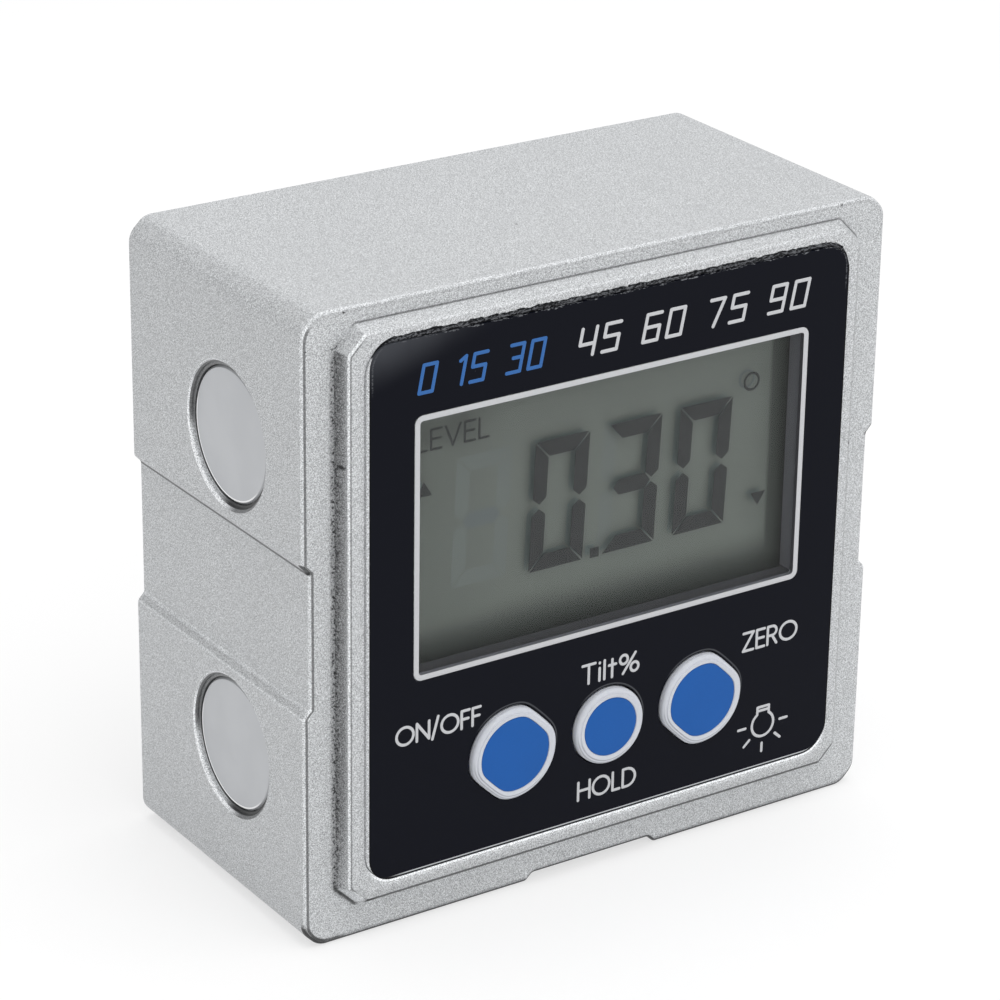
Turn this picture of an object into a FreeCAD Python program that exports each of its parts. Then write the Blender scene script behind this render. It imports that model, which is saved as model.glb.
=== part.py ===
import FreeCAD, Part
import math
import os

# A small square digital inclinometer: a cast case with magnets in three of its sides, a raised
# front panel with a display and three keys, and a plastic back cover that holds two cells.
# Millimetres. X is to the right, Y runs from the front to the back and Z is up. The case stands
# on Z = 0, and the origin is under the middle of the whole thing.

V = FreeCAD.Vector

# Shared
overrun = 1.0               # how far every cutting shape runs past what it cuts
touch_gap = 0.05            # between parts that all but touch
same_place = 0.005          # places closer than this count as the same
join_depth = 0.4            # how far a post or boss reaches into the wall that carries it

# Case. Its width and height are worked out below, from what it holds and shows.
case_depth = 29.0           # from the front rim to the rear edge, without the raised panel
case_wall = 2.4
rim_wall = 2.0              # front wall outside the raised panel
corner_leg = 1.5            # the 45 degree corners
corner_soften = 1.8
front_edge_round = 0.3
rear_edge = 0.45            # bevel round the rear
cavity_corner_round = 2.5

# Channels along the two sides and the base
channel_depth = 0.65
channel_face_half = 7.0
channel_slope = 0.7         # how much narrower the floor is than the mouth, on each side
channel_round = 0.5

# Magnets
magnet_radius = 6.0
magnet_thickness = 2.5
magnet_edge = 0.2
magnet_recess_radius = 6.35
magnet_recess_depth = 0.45
magnet_recess_edge = 0.25   # bevel round the mouth of a recess
magnet_spread = 14.5        # from the middle of a side to a magnet
magnet_set_back = 12.2      # from the front rim to a magnet
magnet_boss_wall = 1.2
magnet_boss_floor = 1.2

# Raised front panel
panel_rise = 1.45
panel_side_margin = 3.1
panel_top_margin = 1.5
panel_bottom_margin = 3.2
panel_draft = 0.65          # how much the face is smaller than the foot, on each side
panel_corner_leg = 2.0
panel_corner_soften = 0.5
panel_edge_round = 0.4
panel_wall = 2.0            # side wall of the hollow behind the panel
front_wall = 1.5            # wall behind the label

# Label
label_thickness = 0.6
label_proud = 0.2
label_side_margin = 1.4     # to the edge of the panel's face
label_top_margin = 1.1
label_bottom_margin = 1.95
label_shift = 0.1           # it sits slightly to the right
label_corner_round = 2.5
label_gap = 0.05

# Window
window_left_margin = 4.7    # from the label's edge to the window
window_right_margin = 4.2
window_top_margin = 6.9
window_height = 24.15
window_above_keys = 9.3     # from the middle of the keys to the window
window_border = 0.5         # the window overlaps the opening by its printed line
window_corner_round = 0.8

# Display
glass_side_lap = 2.4        # how far the glass reaches past the window
glass_end_lap = 2.2
glass_sheet = 0.9
glass_ledge = 2.0           # rear sheet is shorter than the front one at top and bottom
glass_corner = 0.5
guide_thickness = 1.55
guide_inset = 0.75
frame_wall = 0.8
frame_gap = 0.1
frame_corner_round = 1.0
strip_thickness = 1.6
strip_end_inset = 2.75
strip_gap = 0.3
frame_floor = 1.1           # holder's floor between the light guide and the board
lamp_length = 3.0
lamp_width = 1.4

# Keys
key_spacing = 10.07
keys_above_label = 8.6      # from the label's lower edge to the middle of the keys
key_shift = 0.2
key_rise = 0.6
key_travel = 0.4
key_radius = 4.37
key_flat = 3.9             # middle of the key to each of its two flats
small_key_radius = 3.62
key_rim = 0.85              # width of the pale rim round the coloured face
key_corner_soften = 2.2
key_edge = 0.22             # bevel round the front of a key
key_face_thickness = 0.5
key_face_sunk = 0.05
key_hole_gap = 0.15
key_flange_width = 0.6
key_flange_thickness = 0.7

# Switches under the keys
switch_width = 6.0
switch_gap = 0.3            # left between a key and its switch when the key is down
switch_chamfer = 0.5
plunger_radius = 1.7
plunger_engagement = 0.7    # how deep the plunger sits in its switch at rest
plunger_end_gap = 0.3

# Circuit board
board_thickness = 1.6
board_side_gap = 3.0        # from the case wall's inner face to the board
board_top_gap = 0.4
board_bottom_gap = 3.0
board_post_radius = 1.8
board_post_inset = 5.1      # from the board's side edges
board_post_from_top = 5.0
board_post_from_base = 8.3
board_screw_radius = 1.0
board_screw_head_radius = 1.9
board_screw_head = 1.2
board_screw_length = 3.6    # below the board
screw_gap = 0.1
screw_end_gap = 0.4
thread_gap = 0.03
slot_width = 0.5            # cross slot of every screw
slot_depth = 0.6
slot_reach_share = 0.6      # of the head's radius
head_bevel_share = 0.2      # of the head's radius
shank_reach_share = 0.3     # how far a shank runs into its head, of the head's height

# Chips on the back of the board
controller_width = 10.0
controller_thickness = 1.4
controller_above_middle = 9.0
sensor_width = 5.0
sensor_thickness = 1.6
sensor_below_middle = 10.0
chip_chamfer = 0.3
capacitor_length = 2.0
capacitor_width = 1.25
capacitor_thickness = 0.9
capacitor_count = 5
capacitor_pitch = 2.5
capacitor_side = 10.0       # from the middle of the board to the row of capacitors
crystal_length = 8.0
crystal_width = 3.2
crystal_radius = 1.4

# Back cover
cover_thickness = 2.0
cover_lip = 1.2             # rim of the case round the cover
cover_gap = 0.1
cover_corner_round = 0.6
cover_post_radius = 2.4
cover_post_inset = 4.6      # from the side and the base or top of the case
cover_screw_radius = 1.2
cover_screw_head_radius = 2.2
cover_screw_head = 1.1
cover_screw_length = 8.0
counterbore_depth = 1.2

# Cells and the bay that holds them
cell_radius = 5.25
cell_length = 44.5
cell_nub_radius = 1.9
cell_nub = 0.8
cell_edge = 0.4
cell_gap = 0.2              # to the bay's walls, the door and the other cell
spring_length = 3.2
spring_base_radius = 3.2
spring_tip_radius = 1.8
contact_thickness = 0.3
contact_width = 8.0
contact_leg_width = 1.4
bay_wall = 1.0
bay_corner_round = 0.5
bay_side_gap = 0.7          # from the bay to the bosses of the side magnets
contact_slot_gap = 0.1

# Battery door
door_thickness = 1.6
door_lap = 1.45             # door edge past the inside of the bay
door_gap = 0.1
door_corner_round = 1.0
hook_width = 6.0
hook_side = 15.0            # from the middle of the case to each hook
hook_reach = 1.4
hook_stem = 1.0
hook_thickness = 0.7
tongue_width = 9.0
tongue_length = 2.4
tongue_sunk = 0.5
tongue_corner_round = 0.2
grip_count = 4
grip_first = 2.1            # from the door's upper edge to the first grip
grip_pitch = 1.4
grip_width = 0.6
grip_depth = 0.3
grip_length = 12.0

# Planes from front to back
overall_depth = case_depth + panel_rise + label_proud + key_rise
rear_y = overall_depth / 2
rim_y = rear_y - case_depth
panel_y = rim_y - panel_rise
label_y = panel_y - label_proud
label_back_y = label_y + label_thickness
key_front_y = label_y - key_rise
wall_back_y = label_back_y + front_wall
glass_y = wall_back_y + frame_gap
glass_back_y = glass_y + 2 * glass_sheet
guide_back_y = glass_back_y + guide_thickness
board_y = guide_back_y + frame_floor
board_back_y = board_y + board_thickness
flange_y = wall_back_y + touch_gap
flange_back_y = flange_y + key_flange_thickness
switch_y = flange_back_y + key_travel + switch_gap
cover_y = rear_y - cover_thickness
door_y = rear_y - door_thickness
magnet_y = rim_y + magnet_set_back

# The width is what the cells, their contacts and the side magnets need, and the height is what
# the front panel shows
magnet_boss_radius = magnet_radius + touch_gap + magnet_boss_wall
magnet_floor = magnet_recess_depth + magnet_thickness
magnet_boss_depth = magnet_floor + magnet_boss_floor
bay_half_length = (cell_length + spring_length) / 2 + contact_thickness
half_width = bay_half_length + bay_wall + bay_side_gap + magnet_boss_depth
label_low_z = panel_bottom_margin + panel_draft + label_bottom_margin
key_z = label_low_z + keys_above_label
window_low_z = key_z + window_above_keys
label_high_z = window_low_z + window_height + window_top_margin
case_height = label_high_z + label_top_margin + panel_draft + panel_top_margin
mid_z = case_height / 2

# Edges of the pieces seen from the front: left, right, low and high
panel_foot = (-half_width + panel_side_margin, half_width - panel_side_margin,
              panel_bottom_margin, case_height - panel_top_margin)
panel_face = (panel_foot[0] + panel_draft, panel_foot[1] - panel_draft,
              panel_foot[2] + panel_draft, panel_foot[3] - panel_draft)
label_edges = (panel_face[0] + label_side_margin + label_shift,
               panel_face[1] - label_side_margin + label_shift,
               label_low_z, label_high_z)
window_edges = (label_edges[0] + window_left_margin, label_edges[1] - window_right_margin,
                window_low_z, window_low_z + window_height)
opening_edges = (window_edges[0] + window_border, window_edges[1] - window_border,
                 window_edges[2] + window_border, window_edges[3] - window_border)
glass_edges = (window_edges[0] - glass_side_lap, window_edges[1] + glass_side_lap,
               window_edges[2] - glass_end_lap, window_edges[3] + glass_end_lap)
board_edges = (-half_width + case_wall + board_side_gap, half_width - case_wall - board_side_gap,
               case_wall + board_bottom_gap, case_height - case_wall - board_top_gap)
board_posts = [(side * (board_edges[1] - board_post_inset), height) for side in (-1, 1)
               for height in (board_post_from_base, case_height - board_post_from_top)]
cover_posts = [(side * (half_width - cover_post_inset), height) for side in (-1, 1)
               for height in (cover_post_inset, case_height - cover_post_inset)]

# The bay lies behind the board, with one cell above the other
cell_offset = cell_radius + cell_gap / 2
bay_half_height = cell_offset + cell_radius + cell_gap
cell_y = door_y - cell_gap - cell_radius
bay_floor_y = cell_y - cell_radius - cell_gap
bay_edges = (-bay_half_length, bay_half_length, mid_z - bay_half_height, mid_z + bay_half_height)

# Keys: name, place across, radius and whether it has flats
keys = [("power", key_shift - key_spacing, key_radius, True),
        ("units", key_shift, small_key_radius, False),
        ("zero", key_shift + key_spacing, key_radius, True)]


def grown(edges, amount):
    return (edges[0] - amount, edges[1] + amount, edges[2] - amount, edges[3] + amount)


def box(edges, y0, y1):
    size = (edges[1] - edges[0], y1 - y0, edges[3] - edges[2])
    return Part.makeBox(*size, V(edges[0], y0, edges[2]))


def around(x, z, half_x, half_z):
    return (x - half_x, x + half_x, z - half_z, z + half_z)


def pin(x, z, radius, y0, y1):
    return Part.makeCylinder(radius, y1 - y0, V(x, y0, z), V(0, 1, 0))


def fuse_all(first, others):
    return first.multiFuse(others).removeSplitter()


def along_y(shape):
    """Edges that run straight from front to back."""
    chosen = []
    for edge in shape.Edges:
        run = edge.Vertexes[-1].Point - edge.Vertexes[0].Point
        if abs(run.y) > touch_gap and math.hypot(run.x, run.z) < same_place:
            chosen.append(edge)
    return chosen


def at_plane(shape, y):
    """Edges that lie in the plane at y."""
    return [edge for edge in shape.Edges if abs(edge.BoundBox.YMin - y) < same_place
            and abs(edge.BoundBox.YMax - y) < same_place]


def rounded(edges, y0, y1, radius):
    block = box(edges, y0, y1)
    return block.makeFillet(radius, along_y(block))


def cornered_wire(edges, leg, y):
    """Rectangle with 45 degree corners, in the plane at y."""
    x0, x1, z0, z1 = edges
    points = [(x0 + leg, z0), (x1 - leg, z0), (x1, z0 + leg), (x1, z1 - leg),
              (x1 - leg, z1), (x0 + leg, z1), (x0, z1 - leg), (x0, z0 + leg)]
    return Part.makePolygon([V(x, y, z) for x, z in points + points[:1]])


def cornered(edges, leg, y0, y1):
    return Part.Face(cornered_wire(edges, leg, y0)).extrude(V(0, y1 - y0, 0))


def inset_leg(leg, amount):
    """Leg of a 45 degree corner once its outline is drawn in by an even amount."""
    return leg - amount * (2 - math.sqrt(2))


def to_side(shape, angle):
    """Turns a shape made at the base to another side of the case."""
    turned = shape.copy()
    turned.rotate(V(0, 0, mid_z), V(0, 1, 0), angle)
    return turned


# The base and, turned by a quarter, the two sides: name, angle, and distance of the face below
# the middle of the case
sides = [("base", 0, mid_z), ("left", 90, half_width), ("right", -90, half_width)]


def channel(angle, reach):
    wide = channel_face_half + overrun * channel_slope / channel_depth
    narrow = channel_face_half - channel_slope
    face_z = mid_z - reach
    points = [(-wide, face_z - overrun), (wide, face_z - overrun),
              (narrow, face_z + channel_depth), (-narrow, face_z + channel_depth)]
    wire = Part.makePolygon([V(x, rim_y - overrun, z) for x, z in points + points[:1]])
    return to_side(Part.Face(wire).extrude(V(0, case_depth + 2 * overrun, 0)), angle)


def case_block():
    """Outer form of the case: soft 45 degree corners, channels and rounded rims."""
    edges = (-half_width, half_width, 0, case_height)
    block = cornered(edges, corner_leg, rim_y, rear_y)
    block = block.makeFillet(corner_soften, along_y(block))
    for name, angle, reach in sides:
        block = block.cut(channel(angle, reach))
    channel_edges = []
    for edge in along_y(block):
        x, z = edge.Vertexes[0].X, edge.Vertexes[0].Z
        if abs(x) < channel_face_half + touch_gap and z < mid_z:
            channel_edges.append(edge)
        elif abs(z - mid_z) < channel_face_half + touch_gap:
            channel_edges.append(edge)
    block = block.makeFillet(channel_round, channel_edges)
    block = block.makeFillet(front_edge_round, at_plane(block, rim_y))
    return block.makeChamfer(rear_edge, at_plane(block, rear_y))


def panel_block():
    """Raised panel with drafted walls and soft edges."""
    foot = cornered_wire(panel_foot, panel_corner_leg, rim_y)
    face = cornered_wire(panel_face, inset_leg(panel_corner_leg, panel_draft), panel_y)
    block = Part.makeLoft([foot, face], True, True)
    slanted = [edge for edge in block.Edges if edge.BoundBox.YLength > panel_rise / 2]
    block = block.makeFillet(panel_corner_soften, slanted)
    return block.makeFillet(panel_edge_round, at_plane(block, panel_y))


def key_shape(x, radius, flats, y0, y1):
    """Round key, or one with two flats that face up to the right and down to the left."""
    disc = pin(x, key_z, radius, y0, y1)
    if not flats:
        return disc
    flat = key_flat - (key_radius - radius)
    band = box(around(x, key_z, radius + overrun, flat), y0 - overrun, y1 + overrun)
    band.rotate(V(x, 0, key_z), V(0, 1, 0), 45)
    block = disc.common(band)
    return block.makeFillet(key_corner_soften, along_y(block))


def magnet_place(shape_at, angle, reach, side):
    """Puts a disc, made by shape_at, at one of the two magnet places of a side."""
    return to_side(shape_at(side * magnet_spread, mid_z - reach), angle)


def magnet_disc(radius, start, thickness):
    """Makes a maker of discs that lie in a face, from a depth below it."""
    def made(x, face_z):
        return Part.makeCylinder(radius, thickness, V(x, magnet_y, face_z + start))
    return made


def magnet_mouth(x, face_z):
    tall = magnet_recess_edge + overrun
    wide = magnet_recess_radius + tall
    return Part.makeCone(wide, magnet_recess_radius, tall, V(x, magnet_y, face_z - overrun))


def case_hollow():
    inner = (-half_width + case_wall, half_width - case_wall, case_wall, case_height - case_wall)
    main = rounded(inner, rim_y + rim_wall, rear_y + overrun, cavity_corner_round)
    front = rounded(grown(panel_foot, -panel_wall), wall_back_y, rim_y + rim_wall + overrun,
                    cavity_corner_round)
    seat = cornered(grown((-half_width, half_width, 0, case_height), -cover_lip),
                    inset_leg(corner_leg, cover_lip), cover_y, rear_y + overrun)
    return fuse_all(main, [front, seat])


def housing():
    case = fuse_all(case_block(), [panel_block()])
    case = case.cut(case_hollow())
    bosses = []
    for name, angle, reach in sides:
        for side in (-1, 1):
            start = case_wall - join_depth
            boss = magnet_disc(magnet_boss_radius, start, magnet_boss_depth - start)
            bosses.append(magnet_place(boss, angle, reach, side))
    for x, z in board_posts:
        bosses.append(pin(x, z, board_post_radius, wall_back_y - join_depth, board_y))
    for x, z in cover_posts:
        bosses.append(pin(x, z, cover_post_radius, rim_y + rim_wall - join_depth, cover_y))
    case = fuse_all(case, bosses)
    cuts = [rounded(grown(label_edges, label_gap), panel_y - overrun, label_back_y,
                    label_corner_round),
            rounded(opening_edges, label_back_y - overrun, wall_back_y + overrun,
                    window_corner_round - window_border)]
    for name, x, radius, flats in keys:
        cuts.append(key_shape(x, radius + key_hole_gap, flats, panel_y - overrun,
                              wall_back_y + overrun))
    for name, angle, reach in sides:
        for side in (-1, 1):
            recess = magnet_disc(magnet_recess_radius, -overrun, magnet_recess_depth + overrun)
            pocket = magnet_disc(magnet_radius + touch_gap, 0, magnet_floor)
            cuts.append(magnet_place(recess, angle, reach, side))
            cuts.append(magnet_place(magnet_mouth, angle, reach, side))
            cuts.append(magnet_place(pocket, angle, reach, side))
    for x, z in board_posts:
        depth = board_screw_length + screw_end_gap
        cuts.append(pin(x, z, board_screw_radius + thread_gap, board_y - depth,
                        board_y + overrun))
    for x, z in cover_posts:
        depth = cover_screw_length + screw_end_gap
        cuts.append(pin(x, z, cover_screw_radius + thread_gap, cover_y - depth,
                        cover_y + overrun))
    return case.cut(Part.makeCompound(cuts)).removeSplitter()


def magnet(x, face_z):
    """Disc magnet, a little below the face, with its front edge broken."""
    front_z = face_z + magnet_recess_depth
    disc = Part.makeCylinder(magnet_radius, magnet_thickness, V(x, magnet_y, front_z))
    front = [edge for edge in disc.Edges if edge.BoundBox.ZMax < front_z + same_place]
    return disc.makeChamfer(magnet_edge, front)


def magnets():
    made = {}
    ends = {"base": ("left", "right"), "left": ("upper", "lower"), "right": ("lower", "upper")}
    for name, angle, reach in sides:
        for side, end in zip((-1, 1), ends[name]):
            made["magnet_%s_%s" % (name, end)] = magnet_place(magnet, angle, reach, side)
    return made


def face_label():
    sheet = rounded(label_edges, label_y, label_back_y, label_corner_round)
    cuts = [rounded(grown(window_edges, label_gap), label_y - overrun, label_back_y + overrun,
                    window_corner_round)]
    for name, x, radius, flats in keys:
        cuts.append(key_shape(x, radius + key_hole_gap, flats, label_y - overrun,
                              label_back_y + overrun))
    return sheet.cut(Part.makeCompound(cuts))


def display_window():
    return rounded(window_edges, label_y, label_back_y, window_corner_round)


rear_sheet_edges = (glass_edges[0], glass_edges[1],
                    glass_edges[2] + glass_ledge, glass_edges[3] - glass_ledge)
guide_edges = (glass_edges[0], glass_edges[1] - lamp_width - frame_gap,
               rear_sheet_edges[2] + guide_inset, rear_sheet_edges[3] - guide_inset)
strip_spans = [(glass_edges[2] + glass_ledge - strip_gap - strip_thickness,
                glass_edges[2] + glass_ledge - strip_gap),
               (glass_edges[3] - glass_ledge + strip_gap,
                glass_edges[3] - glass_ledge + strip_gap + strip_thickness)]
strip_ends = (glass_edges[0] + strip_end_inset, glass_edges[1] - strip_end_inset)
lamp_z = (glass_edges[2] + glass_edges[3]) / 2
lamp_edges = (glass_edges[1] - lamp_width, glass_edges[1],
              lamp_z - lamp_length / 2, lamp_z + lamp_length / 2)


def lcd_glass():
    front = rounded(glass_edges, glass_y, glass_y + glass_sheet, glass_corner)
    rear = box(rear_sheet_edges, glass_y + glass_sheet, glass_back_y)
    return fuse_all(front, [rear])


def light_guide():
    return box(guide_edges, glass_back_y, guide_back_y)


def backlight_lamp():
    return box(lamp_edges, glass_back_y + touch_gap, board_y)


def display_frame():
    """Plastic holder: a pocket for the glass, one for the light guide and two strip slots."""
    outer = grown(glass_edges, frame_gap + frame_wall)
    frame = rounded(outer, wall_back_y + touch_gap, board_y, frame_corner_round)
    cuts = [box(grown(glass_edges, frame_gap), wall_back_y - overrun, glass_back_y)]
    x0, x1 = glass_edges[0] - frame_gap, glass_edges[1] + frame_gap
    cuts.append(box((x0, x1, guide_edges[2] - frame_gap, guide_edges[3] + frame_gap),
                    glass_back_y - overrun, guide_back_y))
    for low, high in strip_spans:
        slot = (strip_ends[0], strip_ends[1], low, high)
        cuts.append(box(grown(slot, touch_gap), glass_y, board_y + overrun))
    cuts.append(box(grown(lamp_edges, touch_gap), glass_back_y, board_y + overrun))
    for x, z in cover_posts:
        cuts.append(pin(x, z, cover_post_radius + frame_gap, wall_back_y, board_y + overrun))
    for x, z in board_posts:
        cuts.append(pin(x, z, board_post_radius + frame_gap, wall_back_y, board_y + overrun))
    return frame.cut(Part.makeCompound(cuts))


def contact_strip(span):
    return box((strip_ends[0], strip_ends[1], span[0], span[1]), glass_y + glass_sheet, board_y)


def main_board():
    board = box(board_edges, board_y, board_back_y)
    cuts = []
    for x, z in cover_posts:
        cuts.append(pin(x, z, cover_post_radius + screw_end_gap, board_y - overrun,
                        board_back_y + overrun))
    for x, z in board_posts:
        cuts.append(pin(x, z, board_screw_radius + screw_gap, board_y - overrun,
                        board_back_y + overrun))
    return board.cut(Part.makeCompound(cuts))


def chip(x, z, width, thickness):
    body = box(around(x, z, width / 2, width / 2), board_back_y, board_back_y + thickness)
    return body.makeChamfer(chip_chamfer, at_plane(body, board_back_y + thickness))


controller_z = mid_z + controller_above_middle


def board_components():
    """Small parts soldered beside the chips: capacitors in a row, and a crystal can."""
    made = []
    for step in range(capacitor_count):
        z = controller_z - controller_width / 2 + step * capacitor_pitch
        made.append(box(around(capacitor_side, z, capacitor_length / 2, capacitor_width / 2),
                        board_back_y, board_back_y + capacitor_thickness))
    z = controller_z - controller_width / 2 - crystal_width
    half = crystal_length / 2
    can = Part.makeCylinder(crystal_radius, crystal_length,
                            V(-half, board_back_y + crystal_radius, z), V(1, 0, 0))
    made.append(can)
    return Part.makeCompound(made)


def switch_body(x):
    body = box(around(x, key_z, switch_width / 2, switch_width / 2), switch_y, board_y)
    body = body.makeChamfer(switch_chamfer, along_y(body))
    bore = pin(x, key_z, plunger_radius + touch_gap, switch_y - overrun,
               switch_y + plunger_engagement + key_travel + plunger_end_gap)
    return body.cut(bore)


def switch_plunger(x):
    return pin(x, key_z, plunger_radius, flange_back_y, switch_y + plunger_engagement)


def key_cap(x, radius, flats):
    """Pale body of a key, with a flange behind the front wall and a pocket for its face."""
    stem = key_shape(x, radius, flats, key_front_y, flange_y + key_flange_thickness / 2)
    stem = stem.makeChamfer(key_edge, at_plane(stem, key_front_y))
    flange = key_shape(x, radius + key_flange_width, flats, flange_y, flange_back_y)
    pocket = key_shape(x, radius - key_rim, flats, key_front_y - overrun,
                       key_front_y + key_face_sunk + key_face_thickness)
    return fuse_all(stem, [flange]).cut(pocket)


def key_face(x, radius, flats):
    start = key_front_y + key_face_sunk
    return key_shape(x, radius - key_rim, flats, start, start + key_face_thickness)


def cross_head(x, z, head_radius, y0, y1):
    """Screw head with a cross slot in its rear face."""
    head = pin(x, z, head_radius, y0, y1)
    head = head.makeChamfer(head_radius * head_bevel_share, at_plane(head, y1))
    reach = head_radius * slot_reach_share
    arms = [box(around(x, z, reach, slot_width / 2), y1 - slot_depth, y1 + overrun),
            box(around(x, z, slot_width / 2, reach), y1 - slot_depth, y1 + overrun)]
    return head.cut(Part.makeCompound(arms))


def board_screws():
    made = []
    for x, z in board_posts:
        head = cross_head(x, z, board_screw_head_radius, board_back_y,
                          board_back_y + board_screw_head)
        shank = pin(x, z, board_screw_radius, board_y - board_screw_length,
                    board_back_y + board_screw_head * shank_reach_share)
        made.append(fuse_all(head, [shank]))
    return Part.makeCompound(made)


screw_seat_y = rear_y - counterbore_depth


def cover_screws():
    made = []
    for x, z in cover_posts:
        head = cross_head(x, z, cover_screw_head_radius, screw_seat_y,
                          screw_seat_y + cover_screw_head)
        shank = pin(x, z, cover_screw_radius, cover_y - cover_screw_length,
                    screw_seat_y + cover_screw_head * shank_reach_share)
        made.append(fuse_all(head, [shank]))
    return Part.makeCompound(made)


door_edges = grown(bay_edges, door_lap)
door_pocket = grown(door_edges, door_gap)
hinge_y = rear_y
hinge_z = door_pocket[2]


def tongue_edges(margin):
    return (-tongue_width / 2 - margin, tongue_width / 2 + margin,
            door_edges[3] - overrun, door_edges[3] + tongue_length + margin)


def back_cover():
    """Plate with the cell bay moulded into it, the door's pocket and its hook slots."""
    edges = grown((-half_width, half_width, 0, case_height), -cover_lip - cover_gap)
    plate = cornered(edges, inset_leg(corner_leg, cover_lip + cover_gap), cover_y, rear_y)
    plate = plate.makeFillet(cover_corner_round, along_y(plate))
    bay = rounded(grown(bay_edges, bay_wall), bay_floor_y - bay_wall, cover_y + join_depth,
                  bay_corner_round)
    cover = fuse_all(plate, [bay])
    cuts = [box(bay_edges, bay_floor_y, rear_y + overrun),
            rounded(door_pocket, door_y, rear_y + overrun, door_corner_round),
            rounded(tongue_edges(door_gap), door_y, rear_y + overrun, tongue_corner_round)]
    for side in (-1, 1):
        half = hook_width / 2 + door_gap
        slot = (side * hook_side - half, side * hook_side + half,
                hinge_z - touch_gap, bay_edges[2] + overrun)
        cuts.append(box(slot, cover_y - hook_depth() - door_gap, door_y + overrun))
        way = (side * hook_side - half, side * hook_side + half,
               hinge_z - hook_reach - overrun, bay_edges[2] + overrun)
        cuts.append(box(way, cover_y - hook_depth() - door_gap, cover_y))
    for x, z in cover_posts:
        cuts.append(pin(x, z, cover_screw_radius + screw_gap, cover_y - overrun,
                        rear_y + overrun))
        cuts.append(pin(x, z, cover_screw_head_radius + screw_gap, screw_seat_y,
                        rear_y + overrun))
    for x in (-contact_leg_x, contact_leg_x):
        cuts.append(contact_leg_slot(x))
    return cover.cut(Part.makeCompound(cuts))


def hook_depth():
    """Depth of the space that a hook sweeps behind the cover's plate as the door swings."""
    inner = cover_thickness + door_gap + hook_thickness
    return math.hypot(inner, hook_reach) - cover_thickness


def battery_door():
    door = rounded(door_edges, door_y, rear_y, door_corner_round)
    tongue = box(tongue_edges(0), door_y, rear_y - tongue_sunk)
    hooks = []
    under_y = cover_y - door_gap
    for side in (-1, 1):
        half = hook_width / 2
        x0, x1 = side * hook_side - half, side * hook_side + half
        stem = (x0, x1, door_edges[2], door_edges[2] + hook_stem)
        hooks.append(box(stem, under_y - hook_thickness, door_y + join_depth))
        reach = (x0, x1, hinge_z - hook_reach, door_edges[2] + hook_stem)
        hooks.append(box(reach, under_y - hook_thickness, under_y))
    door = fuse_all(door, [tongue] + hooks)
    cuts = []
    for step in range(grip_count):
        z = door_edges[3] - grip_first - step * grip_pitch
        cuts.append(box(around(0, z, grip_length / 2, grip_width / 2), rear_y - grip_depth,
                        rear_y + overrun))
    return door.cut(Part.makeCompound(cuts))


def battery_cell(z, facing):
    """Cell with its nub towards facing times X, against the contact at that end."""
    can_length = cell_length - cell_nub
    start = V(-bay_half_length + contact_thickness + spring_length, cell_y, z)
    can = Part.makeCylinder(cell_radius, can_length, start, V(1, 0, 0))
    can = can.makeChamfer(cell_edge, [edge for edge in can.Edges
                                      if edge.BoundBox.XLength < touch_gap])
    nub = Part.makeCylinder(cell_nub_radius, cell_nub + join_depth,
                            start + V(can_length - join_depth, 0, 0), V(1, 0, 0))
    cell = fuse_all(can, [nub])
    if facing < 0:
        cell.rotate(V(0, cell_y, z), V(0, 0, 1), 180)
    return cell


contact_leg_x = bay_half_length - contact_thickness / 2
upper_z = mid_z + cell_offset
lower_z = mid_z - cell_offset


def contact_plate(x, z0, z1, legged):
    """Sheet metal contact flat against the bay's end wall, with a leg down to the board."""
    half = contact_thickness / 2
    low_y = cell_y - contact_width / 2
    plate = box((x - half, x + half, z0, z1), low_y, low_y + contact_width)
    if not legged:
        return plate
    z = (z0 + z1) / 2
    leg = box((x - half, x + half, z - contact_leg_width / 2, z + contact_leg_width / 2),
              board_back_y, low_y + contact_thickness)
    return fuse_all(plate, [leg])


def contact_leg_slot(x):
    """Slots in the bay's floor for the legs at one end; the bridge end has none."""
    half = contact_thickness / 2 + contact_slot_gap
    slots = []
    if x < 0:
        for z in (upper_z, lower_z):
            edges = (x - half, x + half, z - contact_leg_width / 2 - contact_slot_gap,
                     z + contact_leg_width / 2 + contact_slot_gap)
            slots.append(box(edges, bay_floor_y - bay_wall - overrun, bay_floor_y + overrun))
    return Part.makeCompound(slots)


def cell_spring(z, side):
    """Closed form of the cone spring between a contact plate and a cell's flat end."""
    start = V(side * (bay_half_length - contact_thickness), cell_y, z)
    return Part.makeCone(spring_base_radius, spring_tip_radius, spring_length, start,
                         V(-side, 0, 0))


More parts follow.
